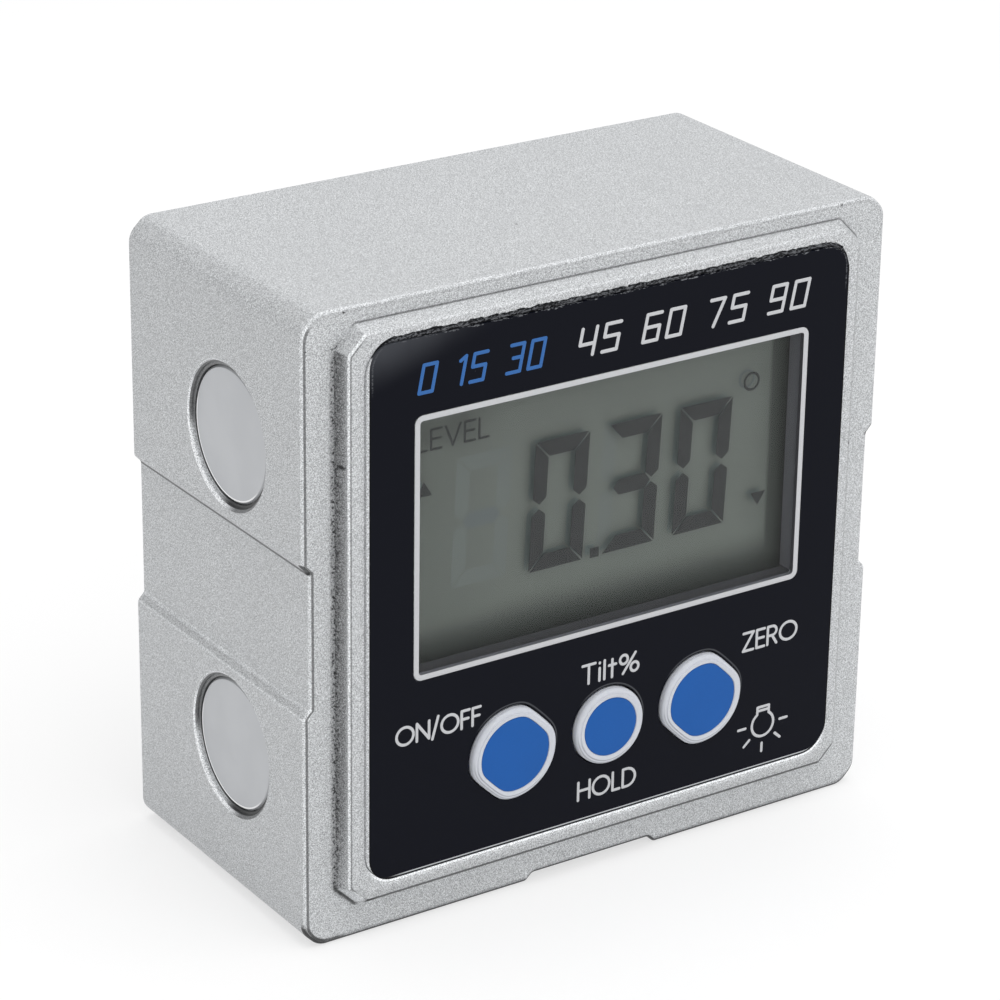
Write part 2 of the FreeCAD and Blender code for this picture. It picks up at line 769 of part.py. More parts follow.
def build():
    parts = {"housing": housing()}
    parts.update(magnets())
    parts["face_label"] = face_label()
    parts["display_window"] = display_window()
    parts["lcd_glass"] = lcd_glass()
    parts["light_guide"] = light_guide()
    parts["backlight_lamp"] = backlight_lamp()
    parts["display_frame"] = display_frame()
    for name, span in zip(("lower", "upper"), strip_spans):
        parts["contact_strip_" + name] = contact_strip(span)
    parts["main_board"] = main_board()
    parts["controller_chip"] = chip(0, controller_z, controller_width, controller_thickness)
    parts["sensor_chip"] = chip(0, mid_z - sensor_below_middle, sensor_width,
                                sensor_thickness)
    parts["board_components"] = board_components()
    for name, x, radius, flats in keys:
        parts[name + "_key_cap"] = key_cap(x, radius, flats)
        parts[name + "_key_face"] = key_face(x, radius, flats)
        parts[name + "_switch_body"] = switch_body(x)
        parts[name + "_switch_plunger"] = switch_plunger(x)
    parts["board_screws"] = board_screws()
    parts["back_cover"] = back_cover()
    parts["cover_screws"] = cover_screws()
    parts["battery_door"] = battery_door()
    parts["battery_cell_upper"] = battery_cell(upper_z, 1)
    parts["battery_cell_lower"] = battery_cell(lower_z, -1)
    half = contact_width / 2
    parts["contact_negative"] = contact_plate(-contact_leg_x, upper_z - half, upper_z + half,
                                              True)
    parts["contact_positive"] = contact_plate(-contact_leg_x, lower_z - half, lower_z + half,
                                              True)
    parts["contact_bridge"] = contact_plate(contact_leg_x, lower_z - half, upper_z + half,
                                            False)
    parts["cell_spring_upper"] = cell_spring(upper_z, -1)
    parts["cell_spring_lower"] = cell_spring(lower_z, 1)
    return parts


def main():
    os.makedirs("parts", exist_ok=True)
    for name, shape in build().items():
        shape.exportStep("parts/%s.step" % name)
        print(name, len(shape.Solids), shape.isValid(), round(shape.Volume, 1))


main()
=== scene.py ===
import bmesh
import bpy
import math
import numpy as np
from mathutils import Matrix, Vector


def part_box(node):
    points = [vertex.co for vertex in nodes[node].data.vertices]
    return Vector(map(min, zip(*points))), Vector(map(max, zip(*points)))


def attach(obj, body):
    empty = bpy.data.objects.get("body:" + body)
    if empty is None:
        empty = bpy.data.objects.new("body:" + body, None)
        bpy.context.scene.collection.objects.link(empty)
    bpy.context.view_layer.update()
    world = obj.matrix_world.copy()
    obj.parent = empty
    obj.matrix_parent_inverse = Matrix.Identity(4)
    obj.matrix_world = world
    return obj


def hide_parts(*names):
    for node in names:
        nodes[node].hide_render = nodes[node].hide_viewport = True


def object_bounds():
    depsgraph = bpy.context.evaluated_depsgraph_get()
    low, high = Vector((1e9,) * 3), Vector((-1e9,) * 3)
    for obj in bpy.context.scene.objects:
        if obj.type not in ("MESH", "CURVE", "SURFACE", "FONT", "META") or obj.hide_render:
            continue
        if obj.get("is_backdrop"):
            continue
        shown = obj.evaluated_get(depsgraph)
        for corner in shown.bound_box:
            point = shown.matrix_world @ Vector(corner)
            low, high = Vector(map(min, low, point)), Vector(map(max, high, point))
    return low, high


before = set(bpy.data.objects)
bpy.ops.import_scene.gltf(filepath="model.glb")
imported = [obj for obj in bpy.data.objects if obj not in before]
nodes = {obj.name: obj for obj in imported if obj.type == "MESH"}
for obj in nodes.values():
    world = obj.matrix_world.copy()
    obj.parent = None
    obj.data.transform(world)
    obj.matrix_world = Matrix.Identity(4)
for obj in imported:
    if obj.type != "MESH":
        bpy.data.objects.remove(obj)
scene = bpy.context.scene
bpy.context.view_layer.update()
mm = 0.001
print("frame loaded:", len(nodes), "nodes")


# Small tools

def edgesOf(node):
    # Left, right, low, high, front and back of a node, in millimetres
    low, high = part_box(node)
    return [value / mm for value in (low.x, high.x, low.z, high.z, low.y, high.y)]


def paint(red, green, blue):
    # A screen colour, 0 to 255, as the linear colour that a shader takes
    share = np.array([red, green, blue]) / 255
    linear = np.where(share > 0.04045, ((share + 0.055) / 1.055) ** 2.4, share / 12.92)
    return [*linear.tolist(), 1.0]


def dimmed(colour, share):
    return [value * share for value in colour]


def makePiece(name, points, faces, material, body, smoothAngle=None):
    # Points come in millimetres; the faces are turned outwards
    mesh = bpy.data.meshes.new(name)
    mesh.from_pydata((np.asarray(points, float) * mm).tolist(), [], faces)
    work = bmesh.new()
    work.from_mesh(mesh)
    bmesh.ops.recalc_face_normals(work, faces=work.faces)
    work.to_mesh(mesh)
    work.free()
    if smoothAngle:
        mesh.shade_smooth()
        mesh.set_sharp_from_angle(angle=math.radians(smoothAngle))
    mesh.materials.append(material)
    piece = bpy.data.objects.new(name, mesh)
    scene.collection.objects.link(piece)
    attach(piece, body)
    return piece


def skin(rings, ends="caps"):
    # Quads between rings of equally many points; the ends get flat caps, or the last ring
    # meets the first
    count, around = rings.shape[:2]
    index = np.arange(count * around).reshape(count, around)
    rows = np.vstack([index, index[:1]]) if ends == "loop" else index
    turned = np.roll(rows, -1, axis=1)
    quads = np.stack([rows[:-1], turned[:-1], turned[1:], rows[1:]], axis=-1)
    faces = quads.reshape(-1, 4).tolist()
    if ends == "caps":
        faces += [index[0, ::-1].tolist(), index[-1].tolist()]
    return rings.reshape(-1, 3), faces


def gather(shapes):
    # Several shapes as one list of points and one of faces
    points, faces, start = [], [], 0
    for some, theirs in shapes:
        points.append(some)
        faces += [[start + corner for corner in face] for face in theirs]
        start += len(some)
    return np.vstack(points), faces


def ringAt(outline, y):
    # The outline's x and z, all at depth y
    return np.column_stack([outline[:, 0], np.full(len(outline), y), outline[:, 1]])


def carried(outlineAt, profile, ends="caps"):
    # The profile's points are (inset, y); each gives the outline drawn in by inset, at depth y
    return skin(np.stack([ringAt(outlineAt(inset), y) for inset, y in profile]), ends)


def roundedOutline(edges, radius, inset=0.0, steps=9):
    # A quarter circle at each corner of the rectangle that is drawn in by inset
    x0, x1, z0, z1 = edges
    r = max(radius - inset, 0.05)
    turn = np.linspace(0, np.pi / 2, steps)
    middles = [(x1 - inset - r, z1 - inset - r), (x0 + inset + r, z1 - inset - r),
               (x0 + inset + r, z0 + inset + r), (x1 - inset - r, z0 + inset + r)]
    parts = [np.column_stack([x + r * np.cos(turn + quarter * np.pi / 2),
                              z + r * np.sin(turn + quarter * np.pi / 2)])
             for quarter, (x, z) in enumerate(middles)]
    return np.vstack(parts)


# Shader tools

class Term:
    # One output of a shader node. Plain signs between terms, or between a term and a number,
    # add Math nodes to its tree
    def __init__(self, socket):
        self.socket = socket

    def __abs__(self):
        return calc("ABSOLUTE", self)


class Made:
    # A shader node; its outputs come as terms, by name or by number
    def __init__(self, node):
        self.node = node

    def __getitem__(self, key):
        return Term(self.node.outputs[key])


def startMaterial(name):
    material = bpy.data.materials.new(name)
    material.use_nodes = True
    material.node_tree.nodes.clear()
    return material, material.node_tree


def put(tree, kind, inputs=None, **settings):
    # Kinds of node are given without the ShaderNode that their names begin with
    node = tree.nodes.new(kind if kind.startswith("NodeGroup") else "ShaderNode" + kind)
    for key, value in settings.items():
        setattr(node, key, value)
    for key, value in (inputs or {}).items():
        if isinstance(value, Term):
            tree.links.new(value.socket, node.inputs[key])
        else:
            node.inputs[key].default_value = value
    return Made(node)


def treeOf(*values):
    # The tree of the first term among the values
    return next(value.socket.id_data for value in values if isinstance(value, Term))


def calc(operation, first, second=0.0, clamp=False):
    return put(treeOf(first, second), "Math", {0: first, 1: second},
               operation=operation, use_clamp=clamp)[0]


def addSign(name, operation):
    setattr(Term, "__%s__" % name, lambda one, other: calc(operation, one, other))
    setattr(Term, "__r%s__" % name, lambda one, other: calc(operation, other, one))


for signName, mathKind in (("add", "ADD"), ("sub", "SUBTRACT"), ("mul", "MULTIPLY"),
                           ("truediv", "DIVIDE"), ("pow", "POWER"), ("lt", "LESS_THAN"),
                           ("gt", "GREATER_THAN")):
    addSign(signName, mathKind)


def larger(first, second):
    return calc("MAXIMUM", first, second)


def smaller(first, second):
    return calc("MINIMUM", first, second)


def root(value):
    return calc("SQRT", value)


def blendColour(factor, first, second):
    # A colour of three numbers is a screen colour; one of four, or a term, is taken as it is
    colours = [colour if isinstance(colour, Term) or len(colour) == 4 else paint(*colour)
               for colour in (first, second)]
    return put(treeOf(factor, *colours), "Mix", {0: factor, 6: colours[0], 7: colours[1]},
               data_type="RGBA", blend_type="MIX")[2]


def spread(value, low, high, toLow=0.0, toHigh=1.0):
    # A smooth step of value from low to high
    return put(treeOf(value), "MapRange",
               {"Value": value, "From Min": low, "From Max": high, "To Min": toLow,
                "To Max": toHigh}, interpolation_type="SMOOTHSTEP")["Result"]


def within(value, low, high, soft):
    # 1 from low to high, fading out over soft on both sides
    return spread(value, low - soft, low) * spread(value, high + soft, high)


def softMax(first, second, blend):
    # The larger of two distances, rounded over where they are about equal
    return put(treeOf(first), "Math", {0: first, 1: second, 2: blend},
               operation="SMOOTH_MAX")[0]


def centred(value, low, high):
    # Distance from the middle of low and high, without its sign
    return abs(value - (low + high) / 2)


def scaled(colour, factor):
    return put(treeOf(colour, factor), "VectorMath", {0: colour, "Scale": factor},
               operation="SCALE")[0]


def placeInMm(tree):
    return scaled(put(tree, "TexCoord")["Object"], 1 / mm)


def split(vector):
    parts = put(treeOf(vector), "SeparateXYZ", {0: vector})
    return [parts[axis] for axis in "XYZ"]


def finishMaterial(material, shader):
    put(material.node_tree, "OutputMaterial", {"Surface": shader})
    return material


def finishSurface(material, inputs):
    surface = put(material.node_tree, "BsdfPrincipled", inputs)
    return finishMaterial(material, surface[0])


def passLamps(tree, shader, tint):
    # Keeps the shader as it's seen, and lets the lamps' light through it
    passes = put(tree, "LightPath")["Is Shadow Ray"]
    clear = put(tree, "BsdfTransparent", {"Color": tint})
    return put(tree, "MixShader", {0: passes, 1: shader, 2: clear[0]})[0]


def bumped(height, depthMm, strength):
    return put(treeOf(height), "Bump", {"Height": height, "Distance": depthMm * mm,
                                        "Strength": strength})["Normal"]


def startGroup(name, inputs, outputs):
    # Sockets are numbers, except Place, which is a vector
    tree = bpy.data.node_groups.new(name, "ShaderNodeTree")
    for side, labels in (("INPUT", inputs), ("OUTPUT", outputs)):
        for label in labels:
            kind = "NodeSocketVector" if label == "Place" else "NodeSocketFloat"
            tree.interface.new_socket(label, in_out=side, socket_type=kind)
    return tree, put(tree, "NodeGroupInput")


def useGroup(group, inputs):
    return put(treeOf(*inputs.values()), "Group", inputs, node_tree=group)


def makeSandGroup():
    # Fine blasted grain: two sizes of noise, as a shade from 0 to 1 and as a height
    tree, given = startGroup("sandGrain", ("Place", "Size"), ("Shade", "Height"))
    density = 1.0 / given["Size"]
    # Turned, so that no flat face lies along the noise's own grid, where it has no grain
    turned = put(tree, "Mapping", {"Vector": given["Place"], "Rotation": (0.5, 0.8, 0.3)})[0]
    coarse = put(tree, "TexNoise",
                 {"Vector": turned, "Scale": density, "Detail": 1.0, "Roughness": 0.6})[0]
    fine = put(tree, "TexNoise", {"Vector": turned, "Scale": density * 2.2, "Detail": 0.0})[0]
    both = coarse * 0.75 + fine * 0.25
    put(tree, "NodeGroupOutput", {"Shade": spread(both, 0.34, 0.66), "Height": both})
    return tree


def makeSpeckGroup():
    # Sparse round spots: near the middle of a few cells of a Voronoi pattern
    tree, given = startGroup("specks", ("Place", "Spacing", "Share", "Width"), ("Mask",))
    cells = put(tree, "TexVoronoi", {"Vector": given["Place"], "Scale": 1.0 / given["Spacing"]})
    pick = split(cells["Color"])[0]
    chosen = pick < given["Share"]
    near = spread(cells["Distance"] / given["Width"], 1.0, 0.55)
    put(tree, "NodeGroupOutput", {"Mask": chosen * near})
    return tree


def makeMottleGroup():
    # Slow change of tone over the surface, from 0 to 1
    tree, given = startGroup("slowTone", ("Place", "Size"), ("Tone",))
    noise = put(tree, "TexNoise",
                {"Vector": given["Place"], "Scale": 1.0 / given["Size"], "Detail": 3.0})[0]
    put(tree, "NodeGroupOutput", {"Tone": spread(noise, 0.3, 0.7)})
    return tree


def makeCorneredGroup():
    # Distance to an outline with slanted corners, less than zero inside: the largest of the
    # distances to its sides and to the slant
    names = ("Across", "Along", "Half Width", "Half Height", "Leg", "Blend")
    tree, given = startGroup("corneredOutline", names, ("Distance",))
    across = given["Across"] - given["Half Width"]
    along = given["Along"] - given["Half Height"]
    slant = (across + along + given["Leg"]) * math.sqrt(0.5)
    put(tree, "NodeGroupOutput",
        {"Distance": softMax(larger(across, along), slant, given["Blend"])})
    return tree


def makeRoundedGroup():
    # Distance to a rounded rectangle: past the corner's middle it is the distance to that
    # middle less the radius, elsewhere the distance to the nearer side
    names = ("Across", "Along", "Half Width", "Half Height", "Radius")
    tree, given = startGroup("roundedOutline", names, ("Distance",))
    sides = [given[place] - given[half] + given["Radius"] for place,
             half in (("Across", "Half Width"), ("Along", "Half Height"))]
    squares = [larger(side, 0.0) ** 2.0 for side in sides]
    corner = root(calc("ADD", *squares))
    inner = smaller(larger(*sides), 0.0)
    put(tree, "NodeGroupOutput", {"Distance": corner + inner - given["Radius"]})
    return tree


sandGroup = makeSandGroup()
speckGroup = makeSpeckGroup()
mottleGroup = makeMottleGroup()
corneredGroup = makeCorneredGroup()
roundedGroup = makeRoundedGroup()


def sandAt(place, size):
    return useGroup(sandGroup, {"Place": place, "Size": size})


def toneAt(place, size):
    return useGroup(mottleGroup, {"Place": place, "Size": size})["Tone"]


def specksAt(place, spacing, share, width):
    return useGroup(speckGroup,
                    {"Place": place, "Spacing": spacing, "Share": share, "Width": width})["Mask"]


def roundedAt(x, z, edges, radius):
    # Distance to the rounded rectangle with these edges: left, right, low and high
    left, right, low, high = edges
    return useGroup(roundedGroup, {"Across": centred(x, left, right),
                                   "Along": centred(z, low, high),
                                   "Half Width": (right - left) / 2,
                                   "Half Height": (high - low) / 2, "Radius": radius})["Distance"]


# Where the case's parts lie, in millimetres
windowEdges = edgesOf("display_window")
windowCorner = 0.8
labelEdges = edgesOf("face_label")
caseEdges = edgesOf("housing")
glassEdges = edgesOf("lcd_glass")
labelFront = labelEdges[4]


# Case paint

casePaint = {
    "dark": (141, 143, 145), "light": (226, 228, 230), "tone": (178, 180, 182),
    "toneSize": 14.0, "grain": 0.1, "bumpDepth": 0.035, "bump": 0.6, "metallic": 0.25,
    "roughness": 0.5, "slantShare": 0.586, "sideFace": 28.0, "baseFace": 2.0, "farAway": 99.0,
    "panelRise": 1.45, "panelSide": 3.1, "panelTop": 1.5, "panelBottom": 3.2,
    "panelDraft": 0.65, "panelLeg": 2.0, "panelBlend": 0.3, "cornerLeg": 1.5,
    "cornerBlend": 0.9, "edgeRound": 0.3,
    "channelHalf": 7.0, "channelSlope": 0.7, "channelDepth": 0.65,
    "magnetSpread": 14.5, "magnetRadius": 6.0, "recessRadius": 6.35, "mouthRadius": 6.6,
    # Pit colour, also painted shade along the left wall's foot; the opening wall's colour is
    # painted shade
    "sootColour": (42, 42, 44), "openingWall": (112, 112, 120),
    "rimSpeckSpacing": 2.6, "rimSpeckShare": 0.06,
    # x, z and radius of the casting pits on the front
    "pits": ((-29.5, 54.9, 0.12), (-25.9, 57.6, 0.15), (25.1, 57.7, 0.15),
             (-26.6, 44.5, 0.22)),
}


def channelDepthAt(along, low, high, look):
    # How deep a side's channel is at a place along that side
    reach = look["channelHalf"] - centred(along, low, high)
    share = calc("DIVIDE", reach, look["channelSlope"], clamp=True)
    return share * look["channelDepth"]


def caseOutline(x, z, look):
    # Distance to the case's outline in front view, with its channels, less than zero inside
    left, right, low, high = caseEdges[:4]
    side = centred(x, left, right) - right + channelDepthAt(z, low, high, look)
    base = channelDepthAt(x, left, right, look) - z
    ends = larger(z - high, base)
    half = (high - low) / 2
    across = centred(x, left, right) - right
    along = centred(z, low, high) - half
    slant = (across + along + look["cornerLeg"]) * math.sqrt(0.5)
    return softMax(larger(side, ends), slant, look["cornerBlend"])


def panelOutline(x, z, inset, look):
    left, right, low, high = caseEdges[:4]
    low, high = low + look["panelBottom"], high - look["panelTop"]
    return useGroup(corneredGroup, {
        "Across": centred(x, left, right), "Along": centred(z, low, high),
        "Half Width": right - look["panelSide"] - inset, "Half Height": (high - low) / 2 - inset,
        "Leg": look["panelLeg"] - inset * look["slantShare"],
        "Blend": look["panelBlend"]})["Distance"]


labelSpecular = 0.07
# The line colours, above and below the label, are painted highlights
filmLook = {"leftBare": 0.28, "below": 0.42, "above": 0.5, "radius": 2.6, "ragged": 0.5,
            "crumbStretch": (0.4, 1.0, 1.0),
            "black": (20, 21, 24), "crumb": (125, 127, 131), "line": (104, 106, 110),
            "lowLine": (205, 207, 210)}


def labelFilm(place, x, z, look):
    # Distance to the edge of the label's black film, with its crumbs and a fine painted highlight
    # line.
    # It leaves a strip of the label bare on the left and runs out over the panel below and
    # above, where its edge is ragged
    left, right, low, high = labelEdges[:4]
    left, low, high = left + look["leftBare"], low - look["below"], high + look["above"]
    # Crumbs are longer along the edge
    drawn = put(treeOf(place), "VectorMath", {0: place, 1: look["crumbStretch"]},
                operation="MULTIPLY")[0]
    grain = sandAt(drawn, 0.11)
    coarse = sandAt(drawn, 0.3)
    rough = spread(z, high - 1.6, high - 0.8) * spread(x, left + 0.8, left + 3.5)
    edge = roundedAt(x, z, (left, right, low, high), look["radius"])
    edge = edge + (coarse["Height"] - 0.5) * (rough * look["ragged"])
    crumbs = (rough * within(edge, -0.5, -0.08, 0.05)
              * spread(grain["Shade"] + coarse["Shade"] * 0.5, 0.7, 1.35))
    # The fine line is a painted highlight along the film's upper edge
    line = (within(edge, -0.34, -0.25, 0.05) * spread(z, high - 5.0, high - 3.6)
            * spread(grain["Shade"], 0.1, 0.7))
    return edge, crumbs, line


def magnetReach(x, y, z, look):
    # Distance to the axis of the nearest magnet, in the face that holds it, and how far the
    # place lies behind and above that axis
    left, right, low, high = caseEdges[:4]
    front, back = edgesOf("magnet_left_upper")[4:]
    depth = y - (front + back) / 2
    reaches = []
    for along, ends, away in ((z, (low, high), centred(x, left, right) < look["sideFace"]),
                              (x, (left, right), z > look["baseFace"])):
        off = centred(along, *ends) - look["magnetSpread"]
        reach = root(off ** 2.0 + depth ** 2.0)
        reaches.append(reach + away * look["farAway"])
    fromMiddle = z - (low + high) / 2
    above = fromMiddle - calc("SIGN", fromMiddle) * look["magnetSpread"]
    return (smaller(*reaches), depth, above)


def makeCasePaint(look):
    material, tree = startMaterial("case paint")
    place = placeInMm(tree)
    x, y, z = split(place)
    facing = split(put(tree, "TexCoord")["Normal"])
    grain = sandAt(place, look["grain"])
    tone = toneAt(place, look["toneSize"])
    silver = blendColour(grain["Shade"], look["dark"], look["light"])
    silver = blendColour(tone * 0.1, silver, look["tone"])

    rim = caseEdges[4] + look["panelRise"]
    left, low, high = caseEdges[0], caseEdges[2], caseEdges[3]
    outline = caseOutline(x, z, look)
    foot = panelOutline(x, z, 0.0, look)
    face = panelOutline(x, z, look["panelDraft"], look)
    climb = rim - y    # height above the rim, towards the front
    rise = look["panelRise"]
    inFront = spread(climb, -0.6, -0.4)
    onRim = within(climb, -0.03, 0.03, 0.03)
    onWall = within(climb, 0.1, rise - 0.03, 0.03) * within(foot, -1.2, 0.2, 0.05)
    onFace = spread(climb, rise - 0.05, rise - 0.01)
    # Which way a wall or a turned edge faces in front view, 0 on the flat fronts
    tilt = root(facing[0] ** 2.0 + facing[2] ** 2.0)
    tilt = larger(tilt, 0.12)
    sideways = facing[0] / tilt
    upwards = facing[2] / tilt
    toLeft = spread(sideways, -0.8, -0.95)
    toUpperLeft = spread(sideways, -0.3, -0.55) * spread(upwards, 0.3, 0.55)
    toTop = spread(upwards, 0.8, 0.95)
    toRight = spread(sideways, 0.8, 0.95)
    below = spread(upwards, -0.25, -0.55)
    upward = spread(facing[2], 0.1, 0.5)
    nearFoot = root(foot ** 2.0 + climb ** 2.0)
    overTop = larger(z - (high - 2.6), 0.0)
    underBase = larger(low + 2.6 - z, 0.0)
    atLeft = spread(x + (overTop - underBase) * 0.8, left + 2.6, left + 1.4)
    atTop = spread(z, high - 2.4, high - 1.2)
    atBase = spread(z, low + 1.6, low + 0.6)

    # Painted highlights on the turned edges, painted shade beside them and in the inner corners
    turned = within(outline, -0.2, -0.05, 0.05) * inFront * spread(climb, 0.1, -0.02)
    inFrontOfRim = spread(climb, 0.05, 0.1)
    shoulder = inFrontOfRim * within(face, -0.05, 0.07, 0.05)
    lowEdge = spread(z, 6.0, 5.0)
    atCorner = lowEdge * spread(x, left + 5.6, left + 5.0)
    film, crumbs, filmHighlight = labelFilm(place, x, z, filmLook)
    filmBase = onFace * spread(z, labelEdges[2] + 1.6, labelEdges[2] + 0.4)
    # Painted highlights, which lighten the silver
    light = [(0.2, turned * atLeft),
             (0.08, turned * atTop),
             (0.4, shoulder * larger(toLeft, toUpperLeft)),
             (0.1, shoulder * toTop),
             (0.55, within(film, 0.0, 0.2, 0.04) * filmBase),
             (0.2, within(film, 0.0, 0.42, 0.08) * filmBase),
             (0.25, onWall * below * atCorner)]
    inset = within(outline, -0.48, -0.3, 0.06)
    # Painted shade, which darkens the silver
    dark = [
        (0.66, onRim * inset * atLeft),
        (0.1, onRim * inset * atTop),
        (0.4, onRim * spread(outline, -0.6, -0.3) * atBase),
        (0.85, spread(outline, -0.34, -0.28) * inFront * spread(facing[2], -0.02, -0.14)),
        (0.04, toUpperLeft * (1.0 - inFront)),
        (0.5, inFrontOfRim * within(face, -0.2, -0.12, 0.05) * spread(x, left + 5.6, left + 4.6)
              * spread(z, 4.3, 5.3)),
        (0.62, inFrontOfRim * lowEdge * spread(upwards, -0.74, -0.84)
               * spread(x, left + 6.6, left + 6.0)),
        (0.5, inFront * spread(outline, -0.5, -0.44) * spread(x - left + z, 2.7, 2.2)),
        (0.6, inFront * spread(nearFoot, 0.16, 0.04) * spread(z, 50.0, 54.0)
              * spread(x, left + 4.6, left + 5.4)),
        (0.3, inFront * spread(nearFoot, 0.6, 0.05) * spread(x, left + 6.0, left + 4.0)
              * spread(z, 56.0, 53.5)),
        (0.75, inFront * spread(nearFoot, 0.3, 0.1) * atCorner),
        (0.2, inFrontOfRim * toRight * within(face, -0.25, 0.1, 0.05)),
        (0.5, onWall * toLeft * spread(face, 0.06, 0.3) * spread(z, 5.0, 13.0, 0.4, 1.0)
              * (1.25 - grain["Shade"])),
        (0.3, onWall * toLeft * spread(face, 0.05, 0.09) * spread(z, 5.0, 13.0, 0.3, 1.0)),
        (0.12, onWall * toUpperLeft * spread(face, 0.05, 0.12)),
        (0.07, onWall * toTop),
        (0.3, onWall * below * (1.0 - atCorner)),
        (0.7, inFrontOfRim * below * within(face, -0.3, 0.1, 0.06) * (1.0 - atCorner)),
        (0.14, onFace * spread(face, -1.1, -0.3) * lowEdge)]
    # Steps of the channels: a painted shade line under each upper step, painted highlights on what
    # faces up
    for along, ends, across in ((z, (low, high), centred(x, *caseEdges[:2])),
                                (x, caseEdges[:2], caseEdges[1] - z)):
        step = centred(along, *ends) - look["channelHalf"]
        onSide = across > caseEdges[1] - 1.0
        inner = within(step, -look["channelSlope"] - 0.1, -look["channelSlope"] + 0.12, 0.1)
        shaded = spread(facing[2], 0.1, -0.1)
        dark.append((0.72, onSide * inner * shaded * spread(along, 20.0, 30.0)))
        outer = within(step, -0.06, 0.06, 0.08)
        light.append((0.22, onSide * larger(inner, outer) * spread(along, 30.0, 20.0)))
    # Magnet recesses: painted shade on the wall above and behind, a painted highlight on the mouth
    # below, and painted shade on the ring between disc and wall above and in front
    reach, behind, above = magnetReach(x, y, z, look)
    edge = look["recessRadius"]
    wall = within(reach, edge - 0.02, edge + 0.02, 0.01)
    floor = within(reach, look["magnetRadius"] + 0.06, edge - 0.04, 0.02)
    inner = within(reach, edge + 0.03, edge + 0.12, 0.02)
    outer = within(reach, edge + 0.13, look["mouthRadius"] + 0.02, 0.02)
    lit = spread(facing[2], -0.1, 0.25)
    over = above + behind * 0.3
    dark += [(0.72, larger(wall, inner) * spread(facing[2], 0.3, -0.05)),
             (0.55, floor * spread(over, -0.5, 1.5)),
             (0.88, larger(floor, wall) * spread(behind, 2.2, 0.0) * spread(above, 1.0, -2.0)),
             (0.6, larger(inner, outer) * spread(behind, 0.2, -1.4) * spread(above, 0.0, -2.5)),
             (0.8, within(reach, look["magnetRadius"] - 0.12, look["magnetRadius"] + 0.07, 0.03))]
    lower = spread(behind, -0.8, 1.4)
    light += [(0.8, outer * lower * spread(facing[2], -0.45, -0.1)),
              (0.6, inner * lower * lit),
              (0.25, wall * lit)]
    # Painted highlights lighten the silver and painted shade darkens it
    factor = 1.0
    for strength, mask in light:
        factor = (mask * strength + 1.0) * factor
    for strength, mask in dark:
        factor = (1.0 - mask * strength) * factor

    # Rough casting grains along the left wall's foot, darkened there as painted shade in the
    # inner corner, and single pits
    clumps = sandAt(place, 0.22)["Shade"]
    rough = inFront * toLeft * spread(nearFoot, 1.1, 0.2)
    rough = larger(rough, onRim * spread(foot, 0.5, 0.05) * spread(x, left + 4.2, left + 3.2))
    stray = specksAt(place, look["rimSpeckSpacing"], look["rimSpeckShare"], 0.07)
    pitsAndFootShade = larger(rough * spread(clumps, 0.62, 0.92), stray * 0.6)
    for pitX, pitZ, pitRadius in look["pits"]:
        away = root((x - pitX) ** 2.0 + (z - pitZ) ** 2.0)
        uneven = away + grain["Height"] * 0.25
        pitsAndFootShade = larger(pitsAndFootShade, spread(uneven, pitRadius + 0.14, pitRadius + 0.02) * inFront)
    # Painted shade: the opening's wall behind the window is painted dark, darkest where it faces
    # up
    opening = (roundedAt(x, z, windowEdges[:4], windowCorner) < -0.1) * (y > labelEdges[5] - 0.05)
    colour = blendColour(pitsAndFootShade, scaled(silver, factor), look["sootColour"])
    wallShade = scaled(paint(*look["openingWall"])[:3], spread(upward, 0.0, 1.0, 1.0, 0.25))
    colour = blendColour(opening, colour, wallShade)
    # The label's film where it runs out over the panel, with a painted highlight line below the
    # label
    black = blendColour(crumbs * 0.7, filmLook["black"], filmLook["crumb"])
    black = blendColour(filmHighlight * 0.7, black, filmLook["line"])
    black = blendColour(filmBase * within(film, -0.32, -0.2, 0.04) * spread(x, -22.6, -20.4),
                        black, filmLook["lowLine"])
    printed = onFace * spread(film, 0.02, -0.02)
    colour = blendColour(printed, colour, black)
    return finishSurface(material, {
        "Base Color": colour, "Metallic": spread(printed, 0.0, 1.0, look["metallic"], 0.0),
        "Specular IOR Level": spread(printed, 0.0, 1.0, 0.5, labelSpecular),
        "Roughness": spread(grain["Shade"], 0.0, 1.0, look["roughness"] - 0.08,
                            look["roughness"] + 0.1),
        "Normal": bumped(grain["Height"] - pitsAndFootShade, look["bumpDepth"], look["bump"])})


# Magnets

# The edge colour is a painted highlight
magnetPlate = {"colour": (188, 190, 193), "tone": (176, 178, 182), "scuff": (140, 141, 144),
               "edge": (246, 247, 248), "metallic": 0.55, "roughness": 0.42}


def makeMagnetPlate(look):
    # Plated disc: nearly even, with faint scuffs and a painted highlight line along its lower edge
    material, tree = startMaterial("magnet plating")
    place = placeInMm(tree)
    facing = split(put(tree, "TexCoord")["Normal"])
    tone = toneAt(place, 5.0)
    scuff = specksAt(place, 1.9, 0.12, 0.05)
    haze = sandAt(place, 0.5)
    colour = blendColour(tone * 0.12, look["colour"], look["tone"])
    colour = blendColour(scuff * 0.3, colour, look["scuff"])
    # The painted highlight line: just inside the edge, on the half that lies down and back
    x, y, z = split(place)
    reach, behind, above = magnetReach(x, y, z, casePaint)
    way = behind * 0.6 - above
    edgeHighlight = (spread(abs(facing[0]), 0.9, 0.95) * within(reach, 5.68, 5.8, 0.04)
              * spread(way, 0.5, 3.0))
    colour = blendColour(edgeHighlight, colour, look["edge"])
    return finishSurface(material, {
        "Base Color": colour, "Metallic": spread(edgeHighlight, 0.0, 1.0, look["metallic"], 0.0),
        "Roughness": spread(tone, 0.0, 1.0, look["roughness"] - 0.04, look["roughness"] + 0.04),
        "Normal": bumped(haze["Height"], 0.003, 0.15)})


# Label and its print

